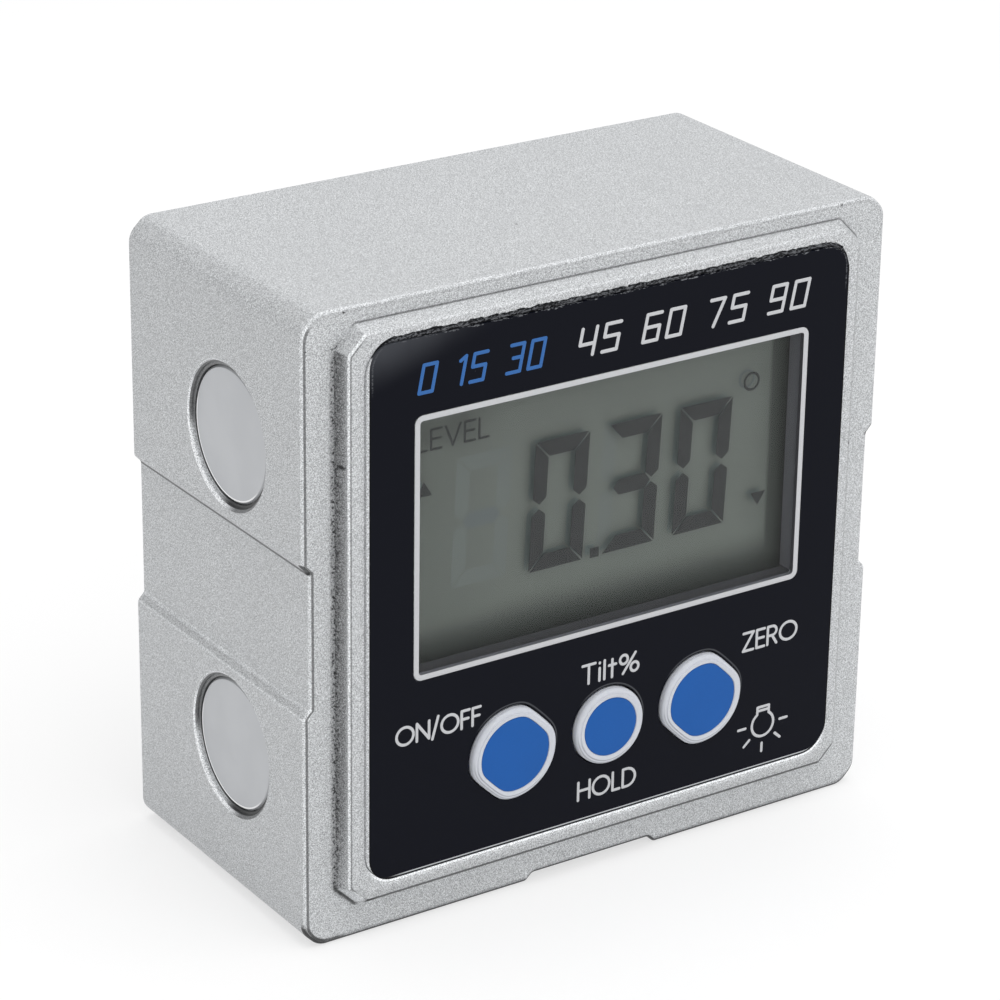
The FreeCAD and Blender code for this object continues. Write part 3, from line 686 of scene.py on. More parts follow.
keyLook = {"rim": 0.85, "flat": 4.0, "bigRadius": 4.37, "smallRadius": 3.62,
           "edgeRound": 0.36, "pocket": 0.55, "crown": 0.03, "flange": 0.6,
           "flangeThickness": 0.7, "cornerPower": 26, "cornerBlend": 0.8,
           "around": 180, "seam": 0.035,
           "faceGap": 0.006, "dome": 0.04, "step": 0.06}
# The hole edge colour is a painted highlight
labelLook = {"face": (11, 13, 22), "edge": (3, 3, 5), "haze": (70, 72, 77),
             "dust": (110, 112, 118), "holeEdge": (70, 72, 76), "roughness": 0.2}


def keyRings(x, z, near, far, soft, side):
    # Thin rings round the keys, near to far from a key's outline, on its upper (side 1) or
    # lower (side -1) part. The outline is a circle or, on the two large keys, the larger of
    # the distances to a circle and to two flat sides
    mask = 0.0
    for name in ("power", "units", "zero"):
        left, right, low, high = edgesOf(name + "_key_cap")[:4]
        across = x - (left + right) / 2
        along = z - (low + high) / 2
        reach = root(across ** 2.0 + along ** 2.0)
        radius = keyLook["bigRadius"] if name != "units" else keyLook["smallRadius"]
        out = reach - radius
        if name != "units":
            flat = abs((across + along) * math.sqrt(0.5))
            out = softMax(out, flat - keyLook["flat"], keyLook["cornerBlend"])
        way = (along + across * 0.4) * side
        mask = larger(mask, within(out, near, far, soft) * spread(way, 1.0, 2.8))
    return mask


def makeLabelGloss(look):
    # Glossy film, blackest along its edge, and case paint on the strip that it leaves bare
    material, tree = startMaterial("label gloss")
    place = placeInMm(tree)
    x, z = split(place)[::2]
    film, crumbs, line = labelFilm(place, x, z, filmLook)
    bare = spread(film, -0.02, 0.02)
    grain = sandAt(place, casePaint["grain"])
    dust = specksAt(place, 2.4, 0.09, 0.025)
    colour = blendColour(spread(film, -0.16, -0.08), look["face"], look["edge"])
    colour = blendColour(crumbs * 0.85, colour, filmLook["crumb"])
    # Painted highlight line along the film's upper edge
    colour = blendColour(line * 0.6, colour, filmLook["line"])
    colour = blendColour(dust * 0.5, colour, look["dust"])
    # Handling haze by the upper left corner, with a painted sheen there that stands in for a
    # reflection
    sheenTone = toneAt(place, 7.0)
    haze = (spread(z - x * 0.3, 57.5, 61.8) * spread(x, -8.0, -21.0)
            * spread(sheenTone, 0.0, 1.0, 0.6, 1.0))
    colour = blendColour(haze * 0.8, colour, look["haze"])
    # Painted highlight: a thin light line round the upper edge of each key's hole
    colour = blendColour(keyRings(x, z, 0.26, 0.34, 0.05, 1), colour, look["holeEdge"])
    silver = blendColour(grain["Shade"], casePaint["dark"], casePaint["light"])
    colour = blendColour(bare, colour, silver)
    return finishSurface(material, {"Base Color": colour, "Specular IOR Level": labelSpecular,
                                    "Roughness": spread(bare, 0.0, 1.0, look["roughness"], 0.6),
                                    "Normal": bumped(grain["Height"] * bare, 0.06, 0.6)})


def makeInk(name, colour, grainSize=0.12, roughness=0.5, open=0.14, castsShadow=True):
    # Screen print: an even colour with a slightly open grain
    material, tree = startMaterial(name)
    place = placeInMm(tree)
    grain = sandAt(place, grainSize)
    worn = blendColour(grain["Shade"] * open, colour, dimmed(colour, 0.72))
    shader = put(tree, "BsdfPrincipled", {"Base Color": worn, "Roughness": roughness,
                                          "Specular IOR Level": 0.3,
                                          "Normal": bumped(grain["Height"], 0.002, 0.2)})[0]
    if not castsShadow:
        # Their shadow on the reflector is painted, as a piece of its own
        shader = passLamps(tree, shader, (1, 1, 1, 1))
    return finishMaterial(material, shader)


# Display

windowLook = {"tint": (250, 252, 251), "dust": (226, 228, 226), "roughness": 0.02, "ior": 1.2,
              "shadowTint": (0.96, 0.97, 0.96, 1.0)}
# The dark colour is painted shade inside the opening's edge
lcdLook = {"face": (95, 99, 95), "tone": (98, 104, 102), "grain": (140, 146, 140),
           "dark": (44, 48, 46), "dust": (170, 172, 168), "band": 1.2, "lowBand": 4.2,
           "roughness": 0.45}


def makeClearPane(name, look):
    # Clear plastic that lets the lamps' light through to what lies behind it
    material, tree = startMaterial(name)
    place = placeInMm(tree)
    dust = specksAt(place, 2.3, 0.08, 0.03)
    colour = blendColour(dust * 0.35, look["tint"], look["dust"])
    pane = put(tree, "BsdfPrincipled", {"Base Color": colour, "Roughness": look["roughness"],
                                        "IOR": look["ior"], "Transmission Weight": 1.0})[0]
    return finishMaterial(material, passLamps(tree, pane, look["shadowTint"]))


def makeLcdFace(look):
    # Grey reflector, painted shade in a soft band inside the opening's edge, darker to the left
    material, tree = startMaterial("display face")
    place = placeInMm(tree)
    x, z = split(place)[::2]
    left, right, low = windowEdges[:3]
    sideRoom = (right - left) / 2 - 0.5 - centred(x, left, right)
    sideShade = spread(sideRoom, look["band"] + 0.3, look["band"] - 0.25)
    endShade = spread(z, low + 0.5 + look["lowBand"], low + 0.3)
    shade = larger(sideShade * 0.72, endShade)
    shade = larger(shade, spread(x, -7.0, -15.0, 0.0, 0.17))
    tone = toneAt(place, 9.0)
    grain = sandAt(place, 0.16)
    dust = specksAt(place, 1.9, 0.12, 0.035)
    colour = blendColour(tone * 0.12, look["face"], look["tone"])
    colour = blendColour(grain["Shade"] * 0.04, colour, look["grain"])
    colour = blendColour(shade, colour, look["dark"])
    colour = blendColour(dust * 0.6, colour, look["dust"])
    return finishSurface(material, {"Base Color": colour, "Roughness": look["roughness"],
                                    "Specular IOR Level": 0.2,
                                    "Normal": bumped(grain["Height"], 0.001, 0.1)})


# Plastics, metals and the board

def makeMoulded(name, colour, roughness, grainSize=0.3, bump=0.3, milky=0.0, shine=0.4,
                lineMask=None):
    # Moulded plastic or rubber with a fine spark-eroded grain, and darker lines where lineMask
    # says so; on the key rims these are painted reflection lines
    material, tree = startMaterial(name)
    place = placeInMm(tree)
    grain = sandAt(place, grainSize)
    tone = toneAt(place, 6.0)
    shade = blendColour(tone * 0.18, colour, dimmed(colour, 0.88))
    shade = blendColour(grain["Shade"] * 0.08, shade,
                        [min(value * 1.15 + 4, 255) for value in colour])
    if lineMask:
        x, z = split(place)[::2]
        shade = blendColour(lineMask(x, z), shade, dimmed(colour, 0.74))
    return finishSurface(material, {
        "Base Color": shade,
        "Roughness": spread(grain["Shade"], 0.0, 1.0, roughness - 0.05, roughness + 0.05),
        "Subsurface Weight": milky, "Subsurface Radius": (0.6, 0.6, 0.7), "Subsurface Scale": mm,
        "Specular IOR Level": shine, "Normal": bumped(grain["Height"], 0.012, bump)})


def makeMetal(name, colour, roughness, streak=0.6):
    # Plated or drawn metal with fine streaks along its height
    material, tree = startMaterial(name)
    place = placeInMm(tree)
    stretched = put(tree, "Mapping", {"Vector": place, "Scale": (6.0, 6.0, 0.7)})
    streaks = put(tree, "TexNoise", {"Vector": stretched[0], "Scale": 1.0, "Detail": 4.0})[0]
    tone = toneAt(place, 2.0)
    shade = blendColour(tone * 0.3, colour, dimmed(colour, 0.8))
    return finishSurface(material, {
        "Base Color": shade, "Metallic": 1.0,
        "Roughness": spread(streaks, 0.3, 0.7, roughness - 0.08, roughness + 0.12),
        "Normal": bumped(streaks, 0.006, streak)})


boardLook = {"mask": (18, 84, 48), "track": (42, 126, 78), "pad": (196, 190, 170)}


def makeBoard(look):
    # Green solder mask with lighter tracks and pads
    material, tree = startMaterial("board")
    place = placeInMm(tree)
    x, z = split(place)[::2]
    flat = put(tree, "CombineXYZ", {0: x, 1: z})[0]
    tracks = put(tree, "TexBrick", {"Vector": flat, "Color1": (0, 0, 0, 1), "Color2": (0, 0, 0, 1),
                                    "Mortar": (1, 1, 1, 1), "Scale": 0.45, "Mortar Size": 0.035,
                                    "Mortar Smooth": 0.2})["Color"]
    pads = specksAt(place, 2.4, 0.35, 0.16)
    mask = blendColour(tracks * 0.5, look["mask"], look["track"])
    colour = blendColour(pads, mask, look["pad"])
    return finishSurface(material, {"Base Color": colour, "Roughness": 0.32,
                                    "Normal": bumped(tracks + pads, 0.03, 0.5)})


cellLook = {"sleeve": (52, 92, 118), "band": (206, 208, 204), "end": (188, 188, 186),
            "tone": (120, 122, 124), "bandAt": 0.72, "bandWidth": 0.06, "metalEnd": 1.1}


def makeCellSleeve(look):
    # Printed sleeve with one pale band; bare metal at both ends
    material, tree = startMaterial("cell sleeve")
    left, right = edgesOf("battery_cell_upper")[:2]
    place = placeInMm(tree)
    x = split(place)[0]
    share = (x - left) / (right - left)
    isBand = (share > look["bandAt"]) * (share < look["bandAt"] + look["bandWidth"])
    fromMiddle = abs(x - (left + right) / 2)
    isEnd = fromMiddle > (right - left) / 2 - look["metalEnd"]
    tone = toneAt(place, 3.0)
    colour = blendColour(isBand, look["sleeve"], look["band"])
    colour = blendColour(isEnd, colour, look["end"])
    colour = blendColour(tone * 0.15, colour, look["tone"])
    return finishSurface(material, {"Base Color": colour, "Metallic": isEnd, "Roughness": 0.34,
                                    "Normal": bumped(tone, 0.01, 0.2)})


def rimReflectionLines(x, z):
    # Painted reflection: two fine dark lines along the lower part of a key's rim
    outer = keyRings(x, z, -0.2, -0.14, 0.04, -1)
    inner = keyRings(x, z, -0.42, -0.37, 0.04, -1)
    return larger(outer, inner) * 0.7


materials = {
    "case": makeCasePaint(casePaint),
    "magnet": makeMagnetPlate(magnetPlate),
    "label": makeLabelGloss(labelLook),
    "whiteInk": makeInk("white print", (192, 193, 196), castsShadow=False),
    "blueInk": makeInk("blue print", (42, 98, 164)),
    "pane": makeClearPane("window pane", windowLook),
    "lcd": makeLcdFace(lcdLook),
    "lcdInk": makeInk("display segments", (36, 37, 39), 0.3, 0.5, 0.1, False),
    "lcdShadow": makeInk("display shadows", (88, 97, 96), 0.3, 0.5, 0.1),
    "lcdGhost": makeInk("display ghosts and ring shadow", (86, 92, 93), 0.3, 0.5, 0.1),
    "lcdFaint": makeInk("display faint ghosts", (95, 100, 98), 0.3, 0.5, 0.1),
    "keyPale": makeMoulded("key rim", (198, 201, 208), 0.36, 0.35, 0.15, 0.25, 0.4, rimReflectionLines),
    "keyBlue": makeMoulded("key face", (25, 86, 160), 0.42, 0.2, 0.2, 0.0, 0.15),
    "cover": makeMoulded("cover plastic", (52, 53, 56), 0.5, 0.28, 0.6),
    "door": makeMoulded("door plastic", (48, 49, 52), 0.48, 0.28, 0.6),
    "frame": makeMoulded("holder plastic", (150, 152, 154), 0.5),
    "guide": makeMoulded("light guide", (232, 234, 232), 0.3, 0.4, 0.1, 0.2),
    "rubber": makeMoulded("contact rubber", (70, 66, 68), 0.7, 0.2, 0.5),
    "switch": makeMoulded("switch body", (34, 34, 36), 0.45),
    "plunger": makeMoulded("switch plunger", (196, 194, 186), 0.4),
    "chip": makeMoulded("chip", (28, 28, 30), 0.55, 0.12, 0.5),
    "component": makeMoulded("ceramic", (168, 132, 92), 0.4, 0.15, 0.3),
    "lamp": makeMoulded("lamp body", (236, 232, 206), 0.3, 0.3, 0.1, 0.3),
    "steel": makeMetal("screw steel", (176, 178, 182), 0.34),
    "contact": makeMetal("contact plating", (198, 196, 190), 0.28),
    "board": makeBoard(boardLook),
    "cell": makeCellSleeve(cellLook),
}
print("materials made:", len(materials))


# CAD nodes: finish and shading

nodeFinish = {
    "housing": "case", "face_label": "label", "display_window": "pane",
    "light_guide": "guide", "backlight_lamp": "lamp", "display_frame": "frame",
    "contact_strip_lower": "rubber", "contact_strip_upper": "rubber", "main_board": "board",
    "controller_chip": "chip", "sensor_chip": "chip", "board_components": "component",
    "board_screws": "steel", "back_cover": "cover", "cover_screws": "steel",
    "battery_door": "door", "battery_cell_upper": "cell", "battery_cell_lower": "cell",
    "contact_negative": "contact", "contact_positive": "contact",
    "contact_bridge": "contact", "lcd_glass": "lcd", "cell_spring_upper": "contact",
    "cell_spring_lower": "contact",
}
partFinish = {"key_cap": "keyPale", "key_face": "keyBlue", "switch_body": "switch",
              "switch_plunger": "plunger"}


def dressNode(name, node):
    finish = nodeFinish.get(name)
    if name.startswith("magnet_"):
        finish = "magnet"
    for ending, kind in partFinish.items():
        if name.endswith(ending):
            finish = kind
    if not node.material_slots:
        node.data.materials.append(materials[finish])
    for holder in node.material_slots:
        holder.material = materials[finish]
    # The CAD mesh is loose triangles: join them, keep hard edges and shade the rounds evenly
    node.data.polygons.foreach_set("use_smooth", [True] * len(node.data.polygons))
    join = node.modifiers.new("join", "WELD")
    join.merge_threshold = 0.002 * mm
    hard = node.modifiers.new("hard edges", "EDGE_SPLIT")
    hard.split_angle = math.radians(32)
    even = node.modifiers.new("even shading", "WEIGHTED_NORMAL")
    even.keep_sharp = True
    even.weight = 90


for name, node in nodes.items():
    dressNode(name, node)
print("nodes dressed")


# Keys: soft pale caps in place of the plain ones


def keyOutline(x, z, radius, flat, inset):
    # Distance from the middle at each angle: the softened minimum of a circle and two flat
    # sides that face up to the right and down to the left
    turn = np.linspace(0, 2 * np.pi, keyLook["around"], endpoint=False)
    reach = np.full(len(turn), radius - inset)
    if flat:
        power = keyLook["cornerPower"]
        side = (flat - inset * 0.88) / np.maximum(np.abs(np.cos(turn - np.pi / 4)), 0.05)
        reach = (reach ** -power + side ** -power) ** (-1 / power)
    return np.column_stack([x + reach * np.cos(turn), z + reach * np.sin(turn)])


def makeKeyCap(name, look):
    # The key's outline at each depth of a profile, drawn in there by the profile's inset
    left, right, low, high, front, back = edgesOf(name + "_key_cap")
    x, z = (left + right) / 2, (low + high) / 2
    big = name != "units"
    radius = look["bigRadius"] if big else look["smallRadius"]
    flat = look["flat"] if big else None
    turn = np.linspace(0, np.pi / 2, 7)
    r = look["edgeRound"]
    edge = [(r - r * math.sin(a), front + look["step"] + r - r * math.cos(a)) for a in turn]
    step = look["step"]
    profile = [(look["rim"], front + look["pocket"]), (look["rim"], front + 0.1),
               (look["rim"] - 0.05, front + look["crown"]), (look["rim"] * 0.66, front),
               (look["rim"] * 0.56, front), (look["rim"] * 0.54, front + step), *edge,
               (0.0, front + 0.52), (look["seam"], front + 0.55), (0.0, front + 0.58),
               (0.0, back - look["flangeThickness"]),
               (-look["flange"], back - look["flangeThickness"]), (-look["flange"], back)]
    points, faces = carried(lambda inset: keyOutline(x, z, radius, flat, inset), profile)
    cap = makePiece(name + "_key_cap_soft", points, faces, materials["keyPale"],
                    name + "_key", 38)
    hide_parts(name + "_key_cap")
    # The coloured face: the same outline drawn in, slightly domed
    edge = look["rim"] + look["faceGap"]
    top, base = edgesOf(name + "_key_face")[4:]
    profile = [(edge, base), (edge, top + 0.05), (edge + 0.04, top + 0.01)]
    profile += [(edge + (radius - edge) * share, top - look["dome"] * (1 - (1 - share) ** 2))
                for share in (0.2, 0.4, 0.6, 0.8, 0.97)]
    points, faces = carried(lambda inset: keyOutline(x, z, radius, flat, inset), profile)
    face = makePiece(name + "_key_face_soft", points, faces, materials["keyBlue"],
                     name + "_key", 38)
    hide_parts(name + "_key_face")


for keyName in ("power", "units", "zero"):
    makeKeyCap(keyName, keyLook)
print("key caps made")


# Print on the label: strokes of ink

inkLook = {"lift": 0.012, "legendWidth": 0.27, "scaleWidth": 0.33, "arcSteps": 28}


def arc(x, z, rx, rz, start, end):
    # Part of an ellipse, angles in degrees
    turn = np.radians(np.linspace(start, end, inkLook["arcSteps"]))
    return [np.column_stack([x + rx * np.cos(turn), z + rz * np.sin(turn)])]


def lines(*corners):
    # Straight strokes from corner to corner
    return [np.array([a, b], float) for a, b in zip(corners[:-1], corners[1:])]


def wayAlong(line):
    # Unit steps along a line of points
    along = np.gradient(line, axis=0)
    return along / np.linalg.norm(along, axis=1)[:, None]


def inkStroke(path, width, face, lift):
    # A flattened tube along the path, with an even section and half round ends
    bend = np.linspace(-1.45, 0, 6)
    first = (path[1] - path[0]) / np.linalg.norm(path[1] - path[0])
    last = (path[-1] - path[-2]) / np.linalg.norm(path[-1] - path[-2])
    opening = path[0] + np.outer(np.sin(bend) * width / 2, first)
    closing = path[-1] - np.outer(np.sin(bend[::-1]) * width / 2, last)
    line = np.vstack([opening, path[1:-1], closing])
    half = np.concatenate([np.cos(bend), np.ones(len(path) - 2), np.cos(bend[::-1])])
    along = wayAlong(line)
    across = np.column_stack([-along[:, 1], along[:, 0]])
    turn = np.linspace(0, 2 * np.pi, 8, endpoint=False)
    wide = np.sign(np.cos(turn)) * np.abs(np.cos(turn)) ** 0.4
    flat = line[:, None, :] + across[:, None, :] * (half[:, None] * wide)[:, :, None] * width / 2
    y = np.broadcast_to(face - lift * np.sin(turn), flat.shape[:2])
    return skin(np.stack([flat[:, :, 0], y, flat[:, :, 1]], axis=-1))


# Each letter has a width and its strokes, for a height of 1
glyphs = {
    "O": (1.0, arc(0.5, 0.5, 0.5, 0.5, 0, 360)),
    "N": (0.72, lines((0, 0), (0, 1), (0.72, 0), (0.72, 1))),
    "/": (0.34, lines((0, -0.12), (0.34, 1.12))),
    "F": (0.46, lines((0, 0), (0, 1), (0.46, 1)) + lines((0, 0.52), (0.4, 0.52))),
    "H": (0.68, lines((0, 0), (0, 1)) + lines((0.68, 0), (0.68, 1))
          + lines((0, 0.52), (0.68, 0.52))),
    "L": (0.42, lines((0, 1), (0, 0), (0.42, 0))),
    "D": (0.74, lines((0.24, 0), (0, 0), (0, 1), (0.24, 1)) + arc(0.24, 0.5, 0.5, 0.5, -90, 90)),
    "Z": (0.6, lines((0, 1), (0.6, 1), (0, 0), (0.6, 0))),
    "E": (0.46, lines((0.46, 0), (0, 0), (0, 1), (0.46, 1)) + lines((0, 0.52), (0.42, 0.52))),
    "R": (0.54, lines((0, 0), (0, 1), (0.26, 1)) + arc(0.26, 0.74, 0.26, 0.26, -90, 90)
          + lines((0.26, 0.48), (0, 0.48)) + lines((0.26, 0.48), (0.54, 0))),
    "V": (0.66, lines((0, 1), (0.33, 0), (0.66, 1))),
    "T": (0.62, lines((0, 1), (0.62, 1)) + lines((0.31, 1), (0.31, 0))),
    "i": (0.04, lines((0.02, 0), (0.02, 0.66)) + lines((0.02, 0.93), (0.02, 0.95))),
    "l": (0.04, lines((0.02, 0), (0.02, 1))),
    "t": (0.34, lines((0.16, 0.95), (0.16, 0)) + lines((0, 0.66), (0.34, 0.66))),
    "%": (0.92, arc(0.19, 0.76, 0.19, 0.24, 0, 360) + arc(0.73, 0.24, 0.19, 0.24, 0, 360)
          + lines((0.16, 0), (0.76, 1))),
}
# Numerals of the scale, open and square, on the same height
numerals = {
    "0": (0.52, lines((0, 0), (0, 1), (0.52, 1), (0.52, 0), (0, 0))),
    "1": (0.2, lines((0, 0.86), (0.2, 1), (0.2, 0))),
    "3": (0.52, lines((0, 1), (0.52, 1), (0.52, 0), (0, 0)) + lines((0.16, 0.52), (0.52, 0.52))),
    "4": (0.52, lines((0, 1), (0, 0.42), (0.52, 0.42)) + lines((0.52, 1), (0.52, 0))),
    "5": (0.52, lines((0.52, 1), (0, 1), (0, 0.54), (0.52, 0.54), (0.52, 0), (0, 0))),
    "6": (0.52, lines((0.52, 1), (0, 1), (0, 0), (0.52, 0), (0.52, 0.52), (0, 0.52))),
    "7": (0.52, lines((0, 1), (0.52, 1), (0.26, 0))),
    "9": (0.52, lines((0, 0), (0.52, 0), (0.52, 1), (0, 1), (0, 0.48), (0.52, 0.48))),
}


def wordStrokes(text, alphabet, left, right, low, high, slant=0.0, space=0.2, gap=0.45):
    # The word's letters side by side, stretched to fill the given width and height
    cursor, strokes = 0.0, []
    for letter in text:
        if letter == " ":
            cursor += gap
            continue
        wide, shapes = alphabet[letter]
        strokes += [shape + np.array([cursor, 0.0]) for shape in shapes]
        cursor += wide + space
    tall = high - low
    stretch = (right - left - slant * tall) / (cursor - space)
    return [np.column_stack([left + stroke[:, 0] * stretch + slant * tall * stroke[:, 1],
                             low + stroke[:, 1] * tall]) for stroke in strokes]


def printStrokes(name, strokes, ink, width, face, lift):
    shapes = [inkStroke(stroke, width, face, lift) for stroke in strokes]
    points, faces = gather(shapes)
    return makePiece(name, points, faces, materials[ink], "case", 60)


# Left, right, low and high of each legend, in millimetres
legends = {
    "legend_on_off": ("ON/OFF", -21.75, -13.25, 18.05, 19.7),
    "legend_tilt": ("Tilt%", -2.6, 3.4, 18.95, 20.75),
    "legend_hold": ("HOLD", -2.75, 3.4, 7.65, 9.4),
    "legend_zero": ("ZERO", 15.0, 21.0, 17.75, 19.5),
}
for name, (text, left, right, low, high) in legends.items():
    printStrokes(name, wordStrokes(text, glyphs, left, right, low, high), "whiteInk",
                 inkLook["legendWidth"], labelFront, inkLook["lift"])

scaleLook = {"low": 49.85, "high": 52.25, "slant": 0.2,
             "blue": ("0 15 30", -19.7, -7.2), "white": ("45 60 75 90", -3.9, 20.6)}
for part, ink in (("blue", "blueInk"), ("white", "whiteInk")):
    text, left, right = scaleLook[part]
    strokes = wordStrokes(text, numerals, left, right, scaleLook["low"], scaleLook["high"],
                          scaleLook["slant"], 0.34, 0.62)
    printStrokes("scale_" + part, strokes, ink, inkLook["scaleWidth"], labelFront,
                 inkLook["lift"])

# Lamp sign: a bulb that hangs from its cap, with five rays
lampSign = {"x": 17.6, "z": 9.85, "bulb": 1.22, "rayFrom": 1.95, "rayTo": 2.75,
            "rays": (180, -138, -90, -42, 0), "width": 0.27}


def lampStrokes(look):
    # Most of a circle, a square neck above it, and rays between two distances from its middle
    x, z, r = look["x"], look["z"], look["bulb"]
    strokes = arc(x, z, r, r, 122, 418)
    neck = r * 0.53
    strokes += lines((x - neck, z + r * 0.85), (x - neck, z + r * 1.45),
                     (x + neck, z + r * 1.45), (x + neck, z + r * 0.85))
    strokes += lines((x - neck, z + r * 1.15), (x + neck, z + r * 1.15))
    for angle in look["rays"]:
        way = np.array([math.cos(math.radians(angle)), math.sin(math.radians(angle))])
        strokes += lines(np.array([x, z]) + way * look["rayFrom"],
                         np.array([x, z]) + way * look["rayTo"])
    return strokes


printStrokes("legend_lamp", lampStrokes(lampSign), "whiteInk", lampSign["width"],
             labelFront, inkLook["lift"])
print("label printed")


# Window: the white line round it

lineLook = {"width": 0.5, "height": 0.012}


def makeWindowLine(look):
    # A flat six-sided section carried round the window's outline
    profile = [(0.0, labelFront), (0.03, labelFront - look["height"]),
               (look["width"] - 0.03, labelFront - look["height"]), (look["width"], labelFront),
               (look["width"] - 0.03, labelFront + look["height"]),
               (0.03, labelFront + look["height"])]
    points, faces = carried(
        lambda inset: roundedOutline(windowEdges[:4], windowCorner, inset), profile, "loop")
    makePiece("window_line", points, faces, materials["whiteInk"], "case", 50)


makeWindowLine(lineLook)


# Display: reflector, segments, signs and their painted shadows

lcdBuild = {"depth": 0.75, "segmentThickness": 0.03, "corner": 0.5}
segmentPlane = glassEdges[4] + 0.02


def plate(edges, corner, y0, y1, bevel=0.08):
    # A rounded rectangle with its two rims bevelled
    profile = [(bevel, y0), (0.0, y0 + bevel), (0.0, y1 - bevel), (bevel, y1)]
    return carried(lambda inset: roundedOutline(edges, corner, inset), profile)


def prism(corners, y0, y1):
    # The same outline at two depths, joined by straight sides
    outline = np.array(corners, float)
    return skin(np.stack([ringAt(outline, y0), ringAt(outline, y1)]))


points, faces = plate(glassEdges[:4], lcdBuild["corner"], segmentPlane + lcdBuild["depth"],
                      glassEdges[5])
lcdPanel = makePiece("lcd_panel", points, faces, materials["lcd"], "case")
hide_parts("lcd_glass")

digitLook = {"width": 5.6, "height": 11.95, "thick": 1.45, "slant": 0.047, "gap": 0.1,
             "waist": 0.22, "point": 0.56, "pitch": 7.61, "left": -7.1, "low": 29.95,
             "middleInset": 0.86}
shownSegments = {"0": "abcdef", "3": "abcdg"}


def segmentShapes(look):
    # Corners of the seven segments of one upright digit with its lower left corner at zero
    w, h, t, g = look["width"], look["height"], look["thick"], look["gap"]
    mid, waist, point = h / 2, look["waist"], look["point"]
    top = [(g, h), (w - g, h), (w - t - g / 2, h - t), (t + g / 2, h - t)]
    upperLeft = [(0, h - g), (t - g / 2, h - t - g / 2 - g), (t - g / 2, mid + waist + point),
                 (t / 2, mid + waist), (0, mid + waist + point)]
    middle = [(look["middleInset"], mid), (t, mid + t / 2), (w - t, mid + t / 2),
              (w - look["middleInset"], mid), (w - t, mid - t / 2), (t, mid - t / 2)]

    def mirrored(shape, acrossWidth, acrossHeight):
        return [(w - u if acrossWidth else u, h - v if acrossHeight else v) for u, v in shape]

    return {"a": top, "d": mirrored(top, False, True), "f": upperLeft,
            "b": mirrored(upperLeft, True, False), "e": mirrored(upperLeft, False, True),
            "c": mirrored(upperLeft, True, True), "g": middle}


def placedSegments(text, look, left, low):
    shapes = segmentShapes(look)
    return [[(left + u + look["slant"] * v, low + v) for u, v in shapes[part]] for part in text]


def makeFlatPiece(name, outlines, y0, y1, finish):
    points, faces = gather([prism(outline, y0, y1) for outline in outlines])
    return makePiece(name, points, faces, materials[finish], "case")


def triangleDown(x, z, half, tall):
    # Its point at x and z, its flat side above that by tall
    return [(x - half, z + tall), (x + half, z + tall), (x, z)]


outlines = []
for step, digit in enumerate("030"):
    outlines += placedSegments(shownSegments[digit], digitLook,
                               digitLook["left"] + step * digitLook["pitch"],
                               digitLook["low"])
markLook = {"point": (-0.2, 30.3, 0.46), "up": (-17.8, 39.5, 0.82, 1.3),
            "down": (17.5, 30.8, 0.82, 1.25), "ring": (16.3, 42.86, 0.78),
            "word": ("LEVEL", -18.5, -11.4, 43.6, 45.4), "wordWidth": 0.24}
x, z, half = markLook["point"]
outlines.append([(x - half, z - half), (x + half, z - half), (x + half, z + half),
                 (x - half, z + half)])
x, z, half, tall = markLook["up"]
outlines.append([(x - half, z), (x + half, z), (x, z + tall)])
outlines.append(triangleDown(*markLook["down"]))
makeFlatPiece("lcd_segments", outlines, segmentPlane,
              segmentPlane + lcdBuild["segmentThickness"], "lcdInk")

x, z, r = markLook["ring"]
text, left, right, low, high = markLook["word"]
signStrokes = arc(x, z, r, r, 0, 360) + wordStrokes(text, glyphs, left, right, low, high)
printStrokes("lcd_signs", signStrokes, "lcdInk", markLook["wordWidth"], segmentPlane + 0.02,
             0.015)

# Painted shadows of the lit segments and ring on the reflector behind, and the unlit ones, which
# show faintly
reflector = segmentPlane + lcdBuild["depth"]
makeFlatPiece("lcd_shadows", outlines, reflector - 0.008, reflector + 0.03, "lcdShadow")
printStrokes("lcd_ring_shadow", arc(x, z, r, r, 0, 360), "lcdGhost", markLook["wordWidth"],
             reflector - 0.01, 0.015)
leftDigit = digitLook["left"] - digitLook["pitch"] + 0.1
makeFlatPiece("lcd_ghosts", placedSegments("g", digitLook, leftDigit, digitLook["low"]),
              reflector - 0.006, reflector + 0.02, "lcdGhost")
faint = placedSegments("abcdef", digitLook, leftDigit, digitLook["low"])
faint += placedSegments("ef", digitLook, digitLook["left"] + digitLook["pitch"],
                        digitLook["low"])
makeFlatPiece("lcd_faint", faint, reflector - 0.004, reflector + 0.015, "lcdFaint")
print("display made")


# Cell springs: cone coils of round wire

springLook = {"wire": 0.5, "baseRadius": 2.95, "tipRadius": 1.7, "turns": 4.5,
              "perTurn": 26, "section": 10}


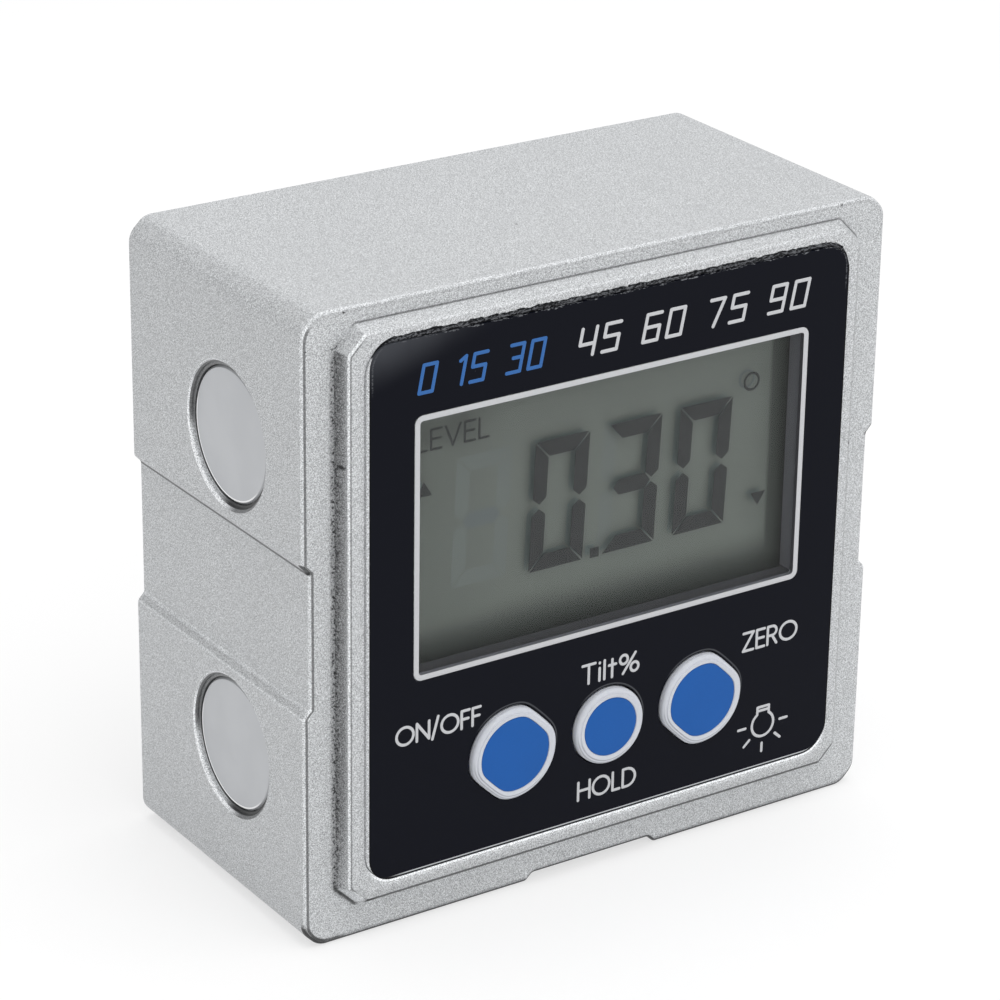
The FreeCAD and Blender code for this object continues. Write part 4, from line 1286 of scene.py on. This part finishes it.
def makeSpring(name, look):
    # A helix whose radius falls from base to tip; the first and last half turns lie flat
    left, right, low, high, front, back = edgesOf(name)
    baseAtLeft = name.endswith("upper")
    y, z = (front + back) / 2, (low + high) / 2
    steps = int(look["turns"] * look["perTurn"])
    turn = np.linspace(0, look["turns"], steps)
    rise = np.clip((turn - 0.5) / (look["turns"] - 1.0), 0, 1)
    half = look["wire"] / 2
    reach = look["baseRadius"] + (look["tipRadius"] - look["baseRadius"]) * rise
    start, end = (left + half, right - half) if baseAtLeft else (right - half, left + half)
    x = start + (end - start) * rise
    angle = 2 * np.pi * turn
    line = np.column_stack([x, y + reach * np.cos(angle), z + reach * np.sin(angle)])
    along = wayAlong(line)
    out = np.column_stack([np.zeros(steps), np.cos(angle), np.sin(angle)])
    side = np.cross(along, out)
    around = np.linspace(0, 2 * np.pi, look["section"], endpoint=False)
    rings = (line[:, None, :] + half * (np.cos(around)[None, :, None] * out[:, None, :]
                                        + np.sin(around)[None, :, None] * side[:, None, :]))
    points, faces = skin(rings)
    coil = makePiece(name + "_coil", points, faces, materials["contact"], "case",
                     50)
    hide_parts(name)


for springName in ("cell_spring_upper", "cell_spring_lower"):
    makeSpring(springName, springLook)
print("springs made")


# Floor, light and camera

stageLook = {"floorHalf": 1.5, "floorColour": (246, 246, 246), "worldLight": 0.7,
             "floorWhite": 0.6}
lampLooks = {
    "top": {"place": (0.05, -0.1, 0.75), "size": 0.7, "power": 3.4},
    "front": {"place": (0.25, -0.8, 0.35), "size": 0.5, "power": 1.2},
}
cameraLook = {"target": (-0.68, 1.1, 30.23), "distance": 341.4, "azimuth": 33.99,
              "elevation": 23.2, "roll": 0.876, "lens": 137.2, "sensor": 36.0,
              "nearest": 0.01, "farthest": 10.0}


def makeFloor(look):
    half = look["floorHalf"]
    mesh = bpy.data.meshes.new("floor")
    mesh.from_pydata([(-half, -half, 0), (half, -half, 0), (half, half, 0), (-half, half, 0)],
                     [], [[0, 1, 2, 3]])
    material, tree = startMaterial("floor paper")
    diffuse = put(tree, "BsdfDiffuse", {"Color": paint(*look["floorColour"])})
    white = put(tree, "Emission", {"Color": (1, 1, 1, 1), "Strength": 1.0})
    path = put(tree, "LightPath")
    seen = larger(path["Is Camera Ray"],
                  larger(path["Is Glossy Ray"], path["Is Transmission Ray"]))
    shader = put(tree, "MixShader", {0: seen * look["floorWhite"], 1: diffuse[0], 2: white[0]})
    mesh.materials.append(finishMaterial(material, shader[0]))
    floor = bpy.data.objects.new("floor", mesh)
    scene.collection.objects.link(floor)
    floor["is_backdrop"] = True


def makeWorld(look):
    world = bpy.data.worlds.new("soft room")
    world.use_nodes = True
    tree = world.node_tree
    tree.nodes.clear()
    path = put(tree, "LightPath")
    seen = larger(path["Is Camera Ray"], path["Is Transmission Ray"])
    strength = spread(seen, 0.0, 1.0, look["worldLight"], 1.0)
    light = put(tree, "Background", {"Color": (1, 1, 1, 1), "Strength": strength})
    put(tree, "OutputWorld", {"Surface": light[0]})
    scene.world = world


def aim(thing, target):
    # Points the thing's -Z at the target with its Y up
    way = target - thing.location
    thing.rotation_mode = "QUATERNION"
    thing.rotation_quaternion = way.to_track_quat("-Z", "Y")


def makeLamps(looks):
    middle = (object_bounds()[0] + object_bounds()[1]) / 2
    for name, look in looks.items():
        light = bpy.data.lights.new(name, "AREA")
        light.shape = "SQUARE"
        light.size = look["size"]
        light.energy = look["power"]
        lamp = bpy.data.objects.new(name, light)
        lamp.location = look["place"]
        scene.collection.objects.link(lamp)
        aim(lamp, middle)


def makeCamera(look):
    data = bpy.data.cameras.new("camera")
    data.lens = look["lens"]
    data.sensor_width = look["sensor"]
    camera = bpy.data.objects.new("camera", data)
    scene.collection.objects.link(camera)
    azimuth, elevation = math.radians(look["azimuth"]), math.radians(look["elevation"])
    way = np.array([math.sin(azimuth) * math.cos(elevation),
                    math.cos(azimuth) * math.cos(elevation), -math.sin(elevation)])
    target = np.array(look["target"])
    camera.location = (target - way * look["distance"]) * mm
    aim(camera, type(camera.location)((target * mm).tolist()))
    camera.rotation_mode = "XYZ"
    camera.rotation_euler.rotate_axis("Z", math.radians(look["roll"]))
    data.clip_start = look["nearest"]
    data.clip_end = look["farthest"]
    scene.camera = camera


makeFloor(stageLook)
makeWorld(stageLook)
makeLamps(lampLooks)
makeCamera(cameraLook)
scene.view_settings.view_transform = "Standard"
print("stage set")
